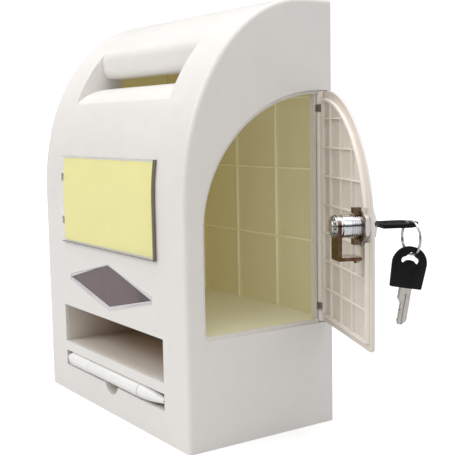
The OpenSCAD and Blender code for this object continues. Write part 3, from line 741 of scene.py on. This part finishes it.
# The pane's dark border is a painted dark reflection towards its right end; the cover's is painted shadow in
# the gaps round it.
PANE = Clear("smoked_pane", Slot.PANE, paint(98, 78, 78), alpha=0.92, rough=0.1, painted_dark=paint(66, 52, 54),
             painted_dark_alpha=0.95, right_from=52 * MM, blend=22 * MM)
COVER = Clear("clear_cover_sheet", Slot.COVER, paint(238, 240, 240), alpha=0.1, rough=0.07,
              painted_dark=paint(104, 90, 78), painted_dark_alpha=0.92, right_from=66.55 * MM, low_to=112.7 * MM,
              high_from=173.5 * MM, left_to=-67.5 * MM)
CARD = Card("dyed_card", Slot.CARD, paint(241, 234, 146))
CHROME = Plated("chromed_zinc", Slot.CHROME, (0.74, 0.75, 0.77), rough=0.09, lines=0.03,
                grain=(0.3, 0.3, 0.3))
NICKEL = Plated("nickel_nut", Slot.NICKEL, (0.92, 0.92, 0.91), rough=0.36, lines=0.06, stained=0.05)
BRONZED = Plated("bronzed_washer", Slot.BRONZED, (0.2, 0.13, 0.09), rough=0.3, lines=0.08, stained=0.4)
CAM = Stamped("plated_cam", Slot.CAM, (0.6, 0.57, 0.53), rough=0.16, lines=0.05, stain=(0.3, 0.2, 0.12))
STEEL = Plated("plain_steel", Slot.STEEL, (0.52, 0.52, 0.52), rough=0.24, lines=0.08, stained=0.25)
ZINC = Plated("zinc_screw", Slot.ZINC, (0.6, 0.61, 0.62), rough=0.26, lines=0.06, stained=0.2)
KEY = Plated("milled_key", Slot.KEY, (0.62, 0.6, 0.56), rough=0.2, lines=0.1,
             stain=(0.32, 0.27, 0.2), stained=0.3)
RING = Plated("polished_wire", Slot.RING, (0.66, 0.66, 0.66), rough=0.12, lines=0.03)
BLACK = Moulded("black_bow", Slot.BLACK, (0.006, 0.006, 0.006), rough=0.36, edge=0.2 * MM, grain=0.01 * MM,
                gloss=0.16)
PEN = Grooved("pen_white_gloss", Slot.PEN, paint(236, 236, 234), rough=0.2, edge=0.2 * MM, grain=0.001 * MM,
              painted_light_and_joint_tone=paint(120, 116, 112), joints=(-64.4 * MM, -33.2 * MM, 37.2 * MM, 39.4 * MM))
BRASS = Plated("refill_tube", Slot.BRASS, (0.6, 0.42, 0.18), rough=0.28, lines=0.1)


class Form:
    """Collects the points and faces of one piece, and makes its object."""

    def __init__(self, name: str) -> None:
        """Starts an empty form.

        Args:
            name: Name of its piece.
        """
        self.name = name
        self.points: list[Vector] = []
        self.faces: list[tuple[int, ...]] = []

    def loft(self, rings: Sequence[Ring], wrap: bool = False, cap: bool = False) -> "Form":
        """Joins closed rings of equal length with four-sided faces.

        Args:
            rings: The rings, one after the other.
            wrap: Joins the last ring to the first.
            cap: Closes both ends.

        Returns:
            This form.
        """
        start, count = len(self.points), len(rings[0])
        for ring in rings:
            self.points.extend(ring)
        for k in range(len(rings) if wrap else len(rings) - 1):
            low, high = start + k * count, start + (k + 1) % len(rings) * count
            for j in range(count):
                n = (j + 1) % count
                self.faces.append((low + j, low + n, high + n, high + j))
        if cap:
            self.faces.append(tuple(start + j for j in reversed(range(count))))
            self.faces.append(tuple(start + (len(rings) - 1) * count + j for j in range(count)))
        return self

    def swept(self, cut: Callable[[float], Profile], matrix: Matrix, steps: int) -> "Form":
        """Sweeps a closed profile of (along, radius) round the x axis of a placement.

        Args:
            cut: Gives the profile at an angle from the y axis towards the z axis.
            matrix: Placement.
            steps: Steps round the axis.

        Returns:
            This form.
        """
        rings = []
        for angle in (math.tau * i / steps for i in range(steps)):
            right, up = math.cos(angle), math.sin(angle)
            rings.append([matrix @ Vector((x, r * right, r * up)) for x, r in cut(angle)])
        return self.loft(rings, wrap=True)

    def turned(self, profile: Profile, matrix: Matrix, steps: int) -> "Form":
        """Turns a closed profile that is the same at each angle."""
        return self.swept(lambda angle: profile, matrix, steps)

    def seat(self, finish: Finish, sharp: float, body: str, *replaced: str) -> None:
        """Makes the piece and lets it ride on a body.

        Args:
            finish: Its finish.
            sharp: Degrees above which an edge stays sharp.
            body: The body.
            replaced: Nodes that it replaces.
        """
        mesh = bpy.data.meshes.new(self.name)
        mesh.from_pydata([tuple(point) for point in self.points], [], self.faces)
        ride(finished(mesh, self.name, finish, FINE_WELD, sharp), body, finish, *replaced)


def finished(mesh: bpy.types.Mesh, name: str, finish: Finish, weld: float, sharp: float) -> bpy.types.Object:
    """Cleans and shades a mesh, and puts it in the scene with its finish.

    Args:
        mesh: The mesh.
        name: Name of the piece.
        finish: Its finish.
        weld: Distance within which points become one.
        sharp: Degrees above which an edge stays sharp.

    Returns:
        The object.
    """
    shape = bmesh.new()
    shape.from_mesh(mesh)
    bmesh.ops.remove_doubles(shape, verts=shape.verts, dist=weld)
    bmesh.ops.recalc_face_normals(shape, faces=shape.faces)
    for face in shape.faces:
        face.smooth = True
    shape.to_mesh(mesh)
    shape.free()
    mesh.set_sharp_from_angle(angle=math.radians(sharp))
    mesh.name = name
    mesh.materials.clear()
    mesh.materials.append(finish.material())
    piece = bpy.data.objects.new(name, mesh)
    bpy.context.scene.collection.objects.link(piece)
    return piece


def plate(name: str, outlines: Sequence[Profile], low: float, high: float, edge: float, matrix: Matrix,
          finish: Finish) -> bpy.types.Object:
    """A flat plate with rounded edges and holes.

    Args:
        name: Name of the piece.
        outlines: Outer outline and holes, in the plate's x and y.
        low: Lower face.
        high: Upper face.
        edge: Rounding of its edges.
        matrix: Placement.
        finish: Its finish.

    Returns:
        The object.
    """
    curve = bpy.data.curves.new(name, "CURVE")
    curve.dimensions = "2D"
    curve.fill_mode = "BOTH"
    curve.extrude = (high - low) / 2 - edge
    curve.bevel_depth = edge
    curve.offset = -edge
    curve.bevel_resolution = 2
    for outline in outlines:
        spline = curve.splines.new("POLY")
        spline.points.add(len(outline) - 1)
        for point, (x, y) in zip(spline.points, outline):
            point.co = (x, y, 0.0, 1.0)
        spline.use_cyclic_u = True
    drawn = bpy.data.objects.new(name, curve)
    bpy.context.scene.collection.objects.link(drawn)
    bpy.context.view_layer.update()
    mesh = bpy.data.meshes.new_from_object(drawn.evaluated_get(bpy.context.evaluated_depsgraph_get()))
    bpy.data.objects.remove(drawn)
    bpy.data.curves.remove(curve)
    mesh.transform(matrix @ Matrix.Translation((0, 0, (low + high) / 2)))
    return finished(mesh, name, finish, WELD, 32)


def smooth_loop(points: Profile, steps: int = 6) -> Profile:
    """A closed curve through a few points.

    Args:
        points: The points.
        steps: Steps between two of them.

    Returns:
        The curve's points.
    """
    count, curve = len(points), []
    for i in range(count):
        before, start, end, after = (Vector(points[(i + k) % count]) for k in (-1, 0, 1, 2))
        for j in range(steps):
            t = j / steps
            place = 0.5 * (2 * start + (end - before) * t + (2 * before - 5 * start + 4 * end - after) * t * t
                           + (3 * start - before - 3 * end + after) * t * t * t)
            curve.append((place.x, place.y))
    return curve


def dress(finish: Finish, *names: str) -> None:
    """Gives CAD nodes their finish, and shades their curved faces smoothly.

    Args:
        finish: The finish.
        names: Names of the nodes.
    """
    for name in names:
        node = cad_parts[name]
        node.data.materials.clear()
        node.data.materials.append(finish.material())
        node.data.polygons.foreach_set("use_smooth", [True] * len(node.data.polygons))
        weld = node.modifiers.new("weld", "WELD")
        weld.merge_threshold = WELD
        split = node.modifiers.new("sharp_edges", "EDGE_SPLIT")
        split.split_angle = math.radians(31)
        even = node.modifiers.new("even_normals", "WEIGHTED_NORMAL")
        even.keep_sharp = False
        LOG.info("dressed %s in %s", name, finish.name)


def ride(piece: bpy.types.Object, body: str, finish: Finish, *replaced: str) -> bpy.types.Object:
    """Lets a piece move with a body, and hides the nodes that it replaces.

    Args:
        piece: The piece.
        body: The body.
        finish: Its finish; not used.
        replaced: Nodes that it replaces.

    Returns:
        The piece.
    """
    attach(piece, body)
    if replaced:
        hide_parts(*replaced)
    LOG.info("built %s on %s", piece.name, body)
    return piece


class Housing:
    """Moulded housing with its back panel, its floor and its screws."""

    def build(self) -> None:
        """Dresses the housing and what closes it."""
        dress(SHELL, "housing")
        dress(BACK, "back_panel")
        dress(PLATE, "compartment_floor")
        dress(ZINC, "back_screws")


class Pockets:
    """Card pocket and pen slot behind the front face."""

    def build(self) -> None:
        """Dresses both pockets."""
        dress(TRAY, "card_tray")
        dress(TROUGH, "pen_trough")


@dataclass
class Window:
    """Diamond window: a sloped bevel, wider below than above, round a smoked pane (millimetres)."""

    half: float = 59.38
    rise: float = 15.58
    end_rise: float = 2.3
    above: float = 0.85
    below: float = 2.3
    middle: float = 87.0
    front: float = -55.3
    face: float = -55.02
    lip: float = -54.5
    rear: float = -52.42
    hole_gap: float = 0.15
    face_gap: float = 0.1
    rounding: float = 0.1
    flat_above: float = 0.3
    flat_below: float = 0.35
    end_blunt: float = 0.6
    hole_blunt: float = 0.4
    pane_front: float = -54.35
    pane_rear: float = -52.4
    pane_gap: float = 0.02
    pane_rounding: float = 0.15
    sharp: float = 20.0

    def ring(self, corners: Profile, depth: float) -> Ring:
        """Points of corners round the window's middle, at one depth."""
        return [Vector((x, depth, self.middle + z)) * MM for x, z in corners]

    def outline(self, above: float, below: float, depth: float) -> Ring:
        """Diamond with blunt ends, drawn in from its edges.

        Args:
            above: How far the two upper sides are drawn in.
            below: How far the two lower sides are drawn in.
            depth: Place in depth.

        Returns:
            Its six corners.
        """
        slope = (self.rise - self.end_rise) / self.half
        longer = math.hypot(1.0, slope)
        high, low = self.rise - above * longer, -self.rise + below * longer
        half = min(self.half - (above + below) / 2, (high - low) / 2 / slope - self.end_blunt)
        corners = [(-half, low + slope * half), (-half, high - slope * half), (0.0, high),
                   (half, high - slope * half), (half, low + slope * half), (0.0, low)]
        return self.ring(corners, depth)

    def hole(self, inset: float, depth: float) -> Ring:
        """The pointed diamond of the front's hole, with six corners.

        Args:
            inset: How far its sides are drawn in.
            depth: Place in depth.

        Returns:
            Its corners.
        """
        side = math.hypot(self.half, self.rise)
        half, rise = self.half - inset * side / self.rise, self.rise - inset * side / self.half
        blunt, low = self.hole_blunt, self.hole_blunt * rise / half
        corners = [(-half + blunt, -low), (-half + blunt, low), (0.0, rise),
                   (half - blunt, low), (half - blunt, -low), (0.0, -rise)]
        return self.ring(corners, depth)

    def build(self) -> None:
        """Builds the bevel and the pane."""
        above, below, turn = self.above, self.below, self.rounding
        bevel = [self.hole(self.hole_gap, self.rear), self.hole(self.face_gap, self.face),
                 self.outline(0, 0, self.face), self.outline(0, 0, self.front + turn),
                 self.outline(turn, turn, self.front),
                 self.outline(self.flat_above, self.flat_below, self.front),
                 self.outline(above, below - turn, self.lip), self.outline(above, below, self.lip + turn),
                 self.outline(above, below, self.rear)]
        Form("bevel_frame").loft(bevel, wrap=True).seat(BEZEL, self.sharp, "root", "window_bezel")
        gap, turn = self.pane_gap, self.pane_rounding
        pane = [self.outline(above + gap, below + gap, depth)
                for depth in (self.pane_rear, self.pane_front + turn)]
        pane.append(self.outline(above + turn, below + turn, self.pane_front))
        Form("smoked_front").loft(pane, cap=True).seat(PANE, self.sharp, "root")
        dress(PANE, "window_pane")


class Label:
    """Bare card under its clear cover."""

    def build(self) -> None:
        """Dresses the card and the cover."""
        dress(CARD, "label_card")
        dress(COVER, "label_cover")


@dataclass
class Door:
    """Open side door and its hinge, with the placement of what it carries (millimetres)."""

    hinge_x: float = HINGE_X
    hinge_y: float = HINGE_Y
    half_depth: float = HALF_DEPTH
    angle: float = DOOR_ANGLE

    def matrix(self) -> Matrix:
        """Placement of a point of the closed door, in millimetres, on the open door.

        Returns:
            The placement.
        """
        turn = Matrix.Rotation(math.radians(self.angle), 4, "Z")
        return (Matrix.Scale(MM, 4) @ Matrix.Translation((self.hinge_x, self.hinge_y - self.half_depth, 0))
                @ turn @ Matrix.Translation((-self.hinge_x, -self.hinge_y, 0)))

    def build(self) -> None:
        """Dresses the door and the hinge pins."""
        dress(DOOR, "door_panel")
        dress(STEEL, "hinge_pins")


@dataclass
class CamLock:
    """Cam lock of the door (millimetres along its axis, and shares of a pitch or of a tooth)."""

    door: Door
    lock_y: float = 24.2
    height: float = 137.0
    nut_rear: float = 95.1
    nut_front: float = 98.1
    nut_flats: float = 17.0
    nut_inset: float = 0.2
    nut_steps: int = 72
    corner_fall: float = 0.5
    least_fall: float = 0.02
    bore: float = 6.72
    chamfer: float = 0.3
    barrel: float = 6.7
    barrel_rear: float = 83.7
    barrel_steps: int = 96
    rear_edge: float = 0.35
    rear_drop: float = 0.5
    neck_drop: float = 0.1
    plug_bore: float = 5.25
    thread_from: float = 88.3
    thread_depth: float = 0.62
    pitch: float = 1.25
    crests: int = 7
    root_from: float = 0.3
    root_to: float = 0.5
    crest_from: float = 0.8
    skin_outer: float = 99.7
    head: float = 9.2
    head_face: float = 101.9
    head_edge: float = 0.8
    head_steps: int = 4
    plug_head: float = 6.25
    plug_depth: float = 1.3
    teeth: int = 13
    tooth_steps: int = 8
    tooth_share: float = 0.6
    star_rear: float = 78.7
    star_thick: float = 0.88
    star_outer: float = 5.7
    star_root: float = 4.3
    star_rim: float = 0.4
    star_inner: float = 1.95
    twist: float = 0.5
    front_twist: float = 0.3
    screw_high: float = 0.9
    screw_head: float = 3.55
    screw_shank: float = 1.9
    shank_length: float = 4.0
    socket: float = 1.0
    socket_end: float = 0.01
    screw_face: tuple[tuple[float, float], ...] = ((0.05, 1.15), (0.0, 1.4), (0.0, 2.7), (0.12, 3.2),
                                                   (0.4, 3.5))
    screw_steps: int = 48

    def matrix(self) -> Matrix:
        """Placement of a point round the lock's axis."""
        return self.door.matrix() @ Matrix.Translation((0, self.lock_y, self.height))

    def nut_profile(self, angle: float) -> Profile:
        """Cut through the chamfered nut at one angle; one of its corners looks up.

        Args:
            angle: Angle round the axis, from the y axis.

        Returns:
            Points of place along the axis and radius.
        """
        sixth = math.pi / 3
        flat = self.nut_flats / 2
        radius = flat / math.cos((angle + sixth / 2) % sixth - sixth / 2)
        fall = max(self.least_fall, (radius - flat) * self.corner_fall)
        face, eased = flat - self.nut_inset, self.bore + self.chamfer
        return [(self.nut_rear + self.chamfer, self.bore), (self.nut_rear, eased), (self.nut_rear, face),
                (self.nut_rear + fall, radius), (self.nut_front - fall, radius), (self.nut_front, face),
                (self.nut_front, eased), (self.nut_front - self.chamfer, self.bore)]

    def barrel_profile(self) -> Profile:
        """Cut through the barrel: bore, smooth rear, ringed thread, head with its rounded edge.

        Returns:
            Points of place along the axis and radius.
        """
        root, neck = self.barrel - self.thread_depth, self.barrel - self.neck_drop
        points = [(self.barrel_rear, self.plug_bore), (self.barrel_rear, self.barrel - self.rear_drop),
                  (self.barrel_rear + self.rear_edge, neck), (self.thread_from, neck)]
        thread = ((self.root_from, root), (self.root_to, root),
                  (self.crest_from, self.barrel), (1, self.barrel))
        for i in range(self.crests):
            points += [(self.thread_from + (i + share) * self.pitch, radius) for share, radius in thread]
        points += [(self.skin_outer, self.barrel), (self.skin_outer, self.head)]
        for i in range(self.head_steps + 1):
            angle = math.pi / 2 * i / self.head_steps
            points.append((self.head_face - self.head_edge * (1 - math.sin(angle)),
                           self.head - self.head_edge * (1 - math.cos(angle))))
        sunk = self.head_face - self.plug_depth
        return points + [(self.head_face, self.plug_head), (sunk, self.plug_head), (sunk, self.plug_bore)]

    def star_profile(self, angle: float) -> Profile:
        """Cut through the toothed washer at one angle: a tooth twisted out of its plane, or a gap.

        Args:
            angle: Angle round the axis.

        Returns:
            Points of place along the axis and radius.
        """
        steps = self.tooth_steps
        share = round(angle / math.tau * self.teeth * steps) % steps / steps
        tooth = share < self.tooth_share
        outer = self.star_outer if tooth else self.star_root
        twist = (share / self.tooth_share - 0.5) * self.twist if tooth else 0.0
        rear, front, field = self.star_rear, self.star_rear + self.star_thick, self.star_root - self.star_rim
        return [(rear, self.star_inner), (rear, field), (rear + twist, outer),
                (front + twist * self.front_twist, outer), (front, field), (front, self.star_inner)]

    def screw_profile(self) -> Profile:
        """Cut through the low screw that holds the cam, its socket as deep as its head is high.

        Returns:
            Points of place along the axis and radius.
        """
        under, end = self.star_rear, self.star_rear + self.shank_length
        face = [(under - self.screw_high + fall, radius) for fall, radius in self.screw_face]
        return [(under, self.socket_end), (under, self.socket), *face, (under, self.screw_head),
                (under, self.screw_shank), (end, self.screw_shank), (end, self.socket_end)]

    def build(self) -> None:
        """Builds the nut, the barrel and the cam's fastening, and dresses the rest of the lock."""
        place = self.matrix()
        nut = Form("chamfered_nut").swept(self.nut_profile, place, self.nut_steps)
        nut.seat(NICKEL, 24, "door", "lock_nut")
        barrel = Form("ringed_barrel").turned(self.barrel_profile(), place, self.barrel_steps)
        barrel.seat(CHROME, 24, "door", "lock_barrel")
        dress(CHROME, "lock_plug")
        dress(BRONZED, "lock_washer")
        dress(CAM, "lock_cam")
        washer = Form("toothed_washer").swept(self.star_profile, place, self.teeth * self.tooth_steps)
        washer.seat(STEEL, 25, "lock_core", "cam_star_washer")
        screw = Form("low_cam_screw").turned(self.screw_profile(), place, self.screw_steps)
        screw.seat(ZINC, 30, "lock_core", "cam_screw")
        dress(STEEL, "cam_stop_washer")


@dataclass
class Keys:
    """Two keys and their split ring (millimetres)."""

    lock: CamLock
    bow_start: float = 105.1
    bow_length: float = 23.3
    bow_width: float = 19.6
    bow_thick: float = 2.3
    bow_curve: float = 0.42
    bow_bulge: float = 1.0
    bow_steps: int = 32
    shoulder: float = 0.5
    shoulder_out: float = 0.03
    skin: float = 0.35
    core_inset: float = 0.315
    core_edge: float = 0.12
    skin_edge: float = 0.15
    window_places: tuple[float, float] = (4.5, 9.0)
    window_half: tuple[float, float] = (1.1, 1.6)
    ring_u: float = 16.55
    ring_v: float = -8.2
    ring_drop: float = 6.9
    ring_radius: float = 9.2
    ring_turn: float = -80.0
    hang_u: float = 18.85
    tilt: float = 11.0
    ring_start: float = 70.0
    ring_steps: int = 96
    turns: float = 2.0
    cross_from: float = 0.93
    cross_length: float = 0.14
    wire_thick: float = 0.36
    wire_flat: float = 0.3456
    wire_wide: float = 0.62
    wire_steps: int = 12
    wire_square: float = 0.6
    tip_share: float = 0.25
    tip_growth: float = 10.0

    def lock_place(self) -> Matrix:
        """Placement of the key in the lock, its shoulder at x = 0."""
        return self.lock.matrix() @ Matrix.Translation((self.bow_start, 0, 0))

    def ring_place(self) -> Matrix:
        """Placement of the ring, its axis along y."""
        return (self.lock_place() @ Matrix.Translation((self.ring_u, self.ring_v, -self.ring_drop))
                @ Matrix.Rotation(math.radians(self.ring_turn), 4, "Z"))

    def spare_place(self) -> Matrix:
        """Placement of the hanging key, its shoulder at x = 0.

        Returns:
            The placement.
        """
        return (self.ring_place() @ Matrix.Translation((0, 0, -self.ring_radius))
                @ Matrix.Rotation(math.radians(-self.tilt), 4, "X")
                @ Matrix.Rotation(math.radians(-90), 4, "Y")
                @ Matrix.Translation((-self.hang_u, 0, 0)))

    def outline(self) -> Profile:
        """Outline of a bow: a straight shoulder and a round end.

        Returns:
            Its points.
        """
        curve, half = self.bow_curve * self.bow_length, self.bow_width / 2
        inner, outer = half - self.shoulder, half + self.shoulder_out
        points = [(self.shoulder, -outer), (0.0, -inner), (0.0, inner), (self.shoulder, outer)]
        for i in range(self.bow_steps + 1):
            angle = math.pi / 2 - math.pi * i / self.bow_steps
            points.append((self.bow_length - curve + curve * math.cos(angle),
                           (half + self.bow_bulge) * math.sin(angle)))
        return points

    def hole(self) -> Profile:
        """Three-lobed hole: two lobes at its sides and a peak in its middle.

        Returns:
            Its points.
        """
        side = [(19.75, 1.15), (18.6, 2.3), (17.45, 3.7), (16.75, 5.3), (15.4, 6.1), (14.0, 5.4),
                (13.75, 3.9), (14.9, 2.6), (15.55, 1.2)]
        return smooth_loop([(20.1, 0.0)] + side + [(15.65, 0.0)] + [(u, -v) for u, v in reversed(side)])

    def bow(self, name: str, matrix: Matrix, body: str, node: str) -> None:
        """Builds one black bow: a core and a skin on each face with two shallow windows.

        Args:
            name: Name of the piece.
            matrix: Placement.
            body: Body that it moves with.
            node: Node that it replaces.
        """
        outline, hole, half = self.outline(), self.hole(), self.bow_thick / 2
        long, wide = self.window_half
        windows = [[(u - long, -wide), (u - long, wide), (u + long, wide), (u + long, -wide)]
                   for u in self.window_places]
        inner = half - self.core_inset
        core = plate(name, [outline, hole], -inner, inner, self.core_edge, matrix, BLACK)
        outer = [outline, hole, *windows]
        skins = [plate(name + "_skin", outer, low, low + self.skin, self.skin_edge, matrix, BLACK)
                 for low in (-half, half - self.skin)]
        with bpy.context.temp_override(active_object=core, selected_editable_objects=[core, *skins]):
            bpy.ops.object.join()
        ride(core, body, BLACK, node)

    def split_ring(self) -> None:
        """Builds the ring: two turns of flattened wire with a joggle where they cross."""
        place, rings = self.ring_place(), []
        section = []
        for angle in (math.tau * k / self.wire_steps for k in range(self.wire_steps)):
            section.append((self.wire_wide * self.rounded_part(math.cos(angle)),
                            self.wire_flat * self.rounded_part(math.sin(angle))))
        for i in range(int(self.ring_steps * self.turns) + 1):
            turn = i / self.ring_steps
            angle = math.tau * turn + math.radians(self.ring_start)
            cross = min(1.0, max(0.0, (turn - self.cross_from) / self.cross_length))
            lift = self.wire_thick * (2 * cross * cross * (3 - 2 * cross) - 1)
            taper = min(1.0, self.tip_share + self.tip_growth * min(turn, self.turns - turn))
            out = Vector((math.sin(angle), 0, math.cos(angle)))
            rings.append([place @ (out * (self.ring_radius + u * taper) + Vector((0, lift + v, 0)))
                          for u, v in section])
        Form("split_ring").loft(rings, cap=True).seat(RING, 60, "ring", "key_ring")

    def rounded_part(self, value: float) -> float:
        """Part of a rounded square, from the part of a circle."""
        return math.copysign(abs(value) ** self.wire_square, value)

    def build(self) -> None:
        """Builds the bows and the ring, and dresses the blades."""
        self.bow("lock_bow", self.lock_place(), "lock_key", "lock_key_bow")
        self.bow("spare_bow", self.spare_place(), "spare_key", "spare_key_bow")
        self.split_ring()
        dress(KEY, "lock_key_blade", "spare_key_blade")


@dataclass
class Pen:
    """White push pen in its slot (millimetres)."""

    height: float = 25.1
    depth: float = -52.2
    nose_start: float = 39.5
    nose_end: float = 68.5
    radius: float = 4.88
    tip: float = 1.75
    bore: float = 1.3
    curve: float = 1.75
    steps: int = 22
    tip_edge: float = 0.15
    turn_steps: int = 64

    def nose_profile(self) -> Profile:
        """Cut through the nose: a rounded taper to a small open tip.

        Returns:
            Points of place along the pen and radius.
        """
        length = self.nose_end - self.nose_start
        points = [(self.nose_start, self.bore), (self.nose_start, self.radius)]
        for i in range(1, self.steps):
            share = i / self.steps
            fall = (self.radius - self.tip) * share ** self.curve
            points.append((self.nose_start + length * share, self.radius - fall))
        return points + [(self.nose_end, self.tip - self.tip_edge), (self.nose_end, self.bore)]

    def build(self) -> None:
        """Builds the nose and dresses the rest of the pen."""
        place = Matrix.Scale(MM, 4) @ Matrix.Translation((0, self.depth, self.height))
        nose = Form("tapered_nose").turned(self.nose_profile(), place, self.turn_steps)
        nose.seat(PEN, 30, "pen", "pen_nose")
        dress(PEN, "pen_barrel", "pen_button")
        dress(BRASS, "pen_refill")
        dress(STEEL, "pen_spring")


@dataclass
class Studio:
    """Pale floor, white surroundings, soft lamps and the camera."""

    eye: tuple[float, float, float] = (0.547406, -0.325087, 0.194408)
    yaw: float = 56.31576
    pitch: float = 6.79663
    roll: float = -1.11564
    lens: float = 70.86
    sensor: float = 36.0
    world_level: float = 0.52
    world_top: float = 0.8
    top_rise: float = 0.8
    # Painted reflection: how dark the surroundings look to metal low down, and the rise over which they turn
    # white.
    reflection_dark_level: float = 0.06
    reflection_dark_from: float = 0.38
    reflection_dark_to: float = 0.5
    floor_half: float = 30.0
    floor_lift: float = 0.48
    lift_from: float = 0.25
    lift_to: float = 1.6
    box_middle: float = 0.13
    lamps: tuple[tuple[str, tuple[float, float, float], float, float], ...] = (
        ("key_lamp", (-0.9, -2.4, 1.9), 34.0, 1.7),
        ("side_lamp", (2.4, -0.6, 1.6), 6.0, 1.6),
        ("top_lamp", (0.2, 0.0, 2.6), 25.0, 1.8),
    )

    def camera(self) -> None:
        """Sets the camera at the photograph's place."""
        yaw, pitch, roll = (math.radians(a) for a in (self.yaw, self.pitch, self.roll))
        look = Vector((-math.sin(yaw) * math.cos(pitch), math.cos(yaw) * math.cos(pitch), -math.sin(pitch)))
        level = Vector((math.cos(yaw), math.sin(yaw), 0.0))
        above = level.cross(look)
        right = math.cos(roll) * level + math.sin(roll) * above
        up = -math.sin(roll) * level + math.cos(roll) * above
        data = bpy.data.cameras.new("view")
        data.lens = self.lens
        data.sensor_width = self.sensor
        data.clip_start = 0.01
        camera = bpy.data.objects.new("view", data)
        bpy.context.scene.collection.objects.link(camera)
        turn = Matrix((right, up, -look)).transposed()
        camera.matrix_world = Matrix.Translation(self.eye) @ turn.to_4x4()
        bpy.context.scene.camera = camera

    def lamp(self, name: str, place: Sequence[float], power: float, size: float) -> None:
        """Sets one square lamp that looks at the box.

        Args:
            name: Name of the lamp.
            place: Its place.
            power: Its power in watts.
            size: Its side.
        """
        data = bpy.data.lights.new(name, "AREA")
        data.energy, data.size = power, size
        lamp = bpy.data.objects.new(name, data)
        bpy.context.scene.collection.objects.link(lamp)
        lamp.location = place
        look = Vector((0, 0, self.box_middle)) - Vector(place)
        lamp.rotation_euler = look.to_track_quat("-Z", "Y").to_euler()

    def world(self) -> None:
        """Makes the surroundings white to the eye and to glass, and softer as a lamp; metal sees a painted
        dark reflection low down and white above.
        """
        world = bpy.data.worlds.new("studio")
        world.use_nodes = True
        bpy.context.scene.world = world
        tree = Tree(world.node_tree)
        rays = tree.make("ShaderNodeLightPath", output="Is Camera Ray")
        outputs = rays.socket.node.outputs
        seen = rays + Wire(tree, outputs["Is Transmission Ray"])
        _, _, rise = tree.axes(tree.make("ShaderNodeTexCoord", output="Generated"))
        level = tree.mix(tree.span(rise, 0.0, self.top_rise), (self.world_level,) * 3, (self.world_top,) * 3)
        # Painted reflection: glossy rays see dark surroundings low down and white ones higher up.
        painted_reflection_mask = tree.span(rise, self.reflection_dark_from, self.reflection_dark_to)
        painted_reflection = tree.mix(painted_reflection_mask, (self.reflection_dark_level,) * 3, FULL_LIGHT)
        level = tree.mix(Wire(tree, outputs["Is Glossy Ray"]), level, painted_reflection)
        level = tree.mix(seen > 0.5, level, FULL_LIGHT)
        light = tree.make("ShaderNodeBackground", {}, {"Color": level, "Strength": 1.0})
        tree.make("ShaderNodeOutputWorld", {}, {"Surface": light})

    def floor(self) -> None:
        """Lays the pale floor, which keeps the box's shadow and turns white further out."""
        mesh = bpy.data.meshes.new("floor")
        half = self.floor_half
        corners = [(-half, -half, 0), (half, -half, 0), (half, half, 0), (-half, half, 0)]
        mesh.from_pydata(corners, [], [(0, 1, 2, 3)])
        floor = bpy.data.objects.new("floor", mesh)
        bpy.context.scene.collection.objects.link(floor)
        material = bpy.data.materials.new("pale_floor")
        material.use_nodes = True
        tree = Tree(material.node_tree)
        seen = tree.make("ShaderNodeLightPath", output="Is Camera Ray")
        away = tree.make("ShaderNodeVectorMath", {"operation": "LENGTH"}, {0: tree.place()}, "Value")
        lift = tree.span(away, self.lift_from, self.lift_to, self.floor_lift, 1.0)
        glow = tree.mix(seen * lift, NO_LIGHT, FULL_LIGHT)
        fine = tree.noise(300.0, 3.0)
        tree.close(Base_Color=tree.mix(fine, (0.6, 0.6, 0.6), (0.64, 0.64, 0.64)), Roughness=0.9,
                   Emission_Color=glow, Emission_Strength=1.0, Specular_IOR_Level=0.1)
        mesh.materials.append(material)

    def build(self) -> None:
        """Builds the studio."""
        self.camera()
        self.world()
        self.floor()
        for lamp in self.lamps:
            self.lamp(*lamp)
        bpy.context.scene.view_settings.view_transform = "Standard"


def main() -> None:
    """Builds and dresses the box, then its studio."""
    logging.basicConfig(level=logging.INFO, format="%(name)s %(message)s")
    door = Door()
    lock = CamLock(door)
    for part in (Studio(), Housing(), Pockets(), Window(), Label(), door, lock, Keys(lock), Pen()):
        part.build()
        LOG.info("finished %s", type(part).__name__)


if __name__ == "__main__":
    main()
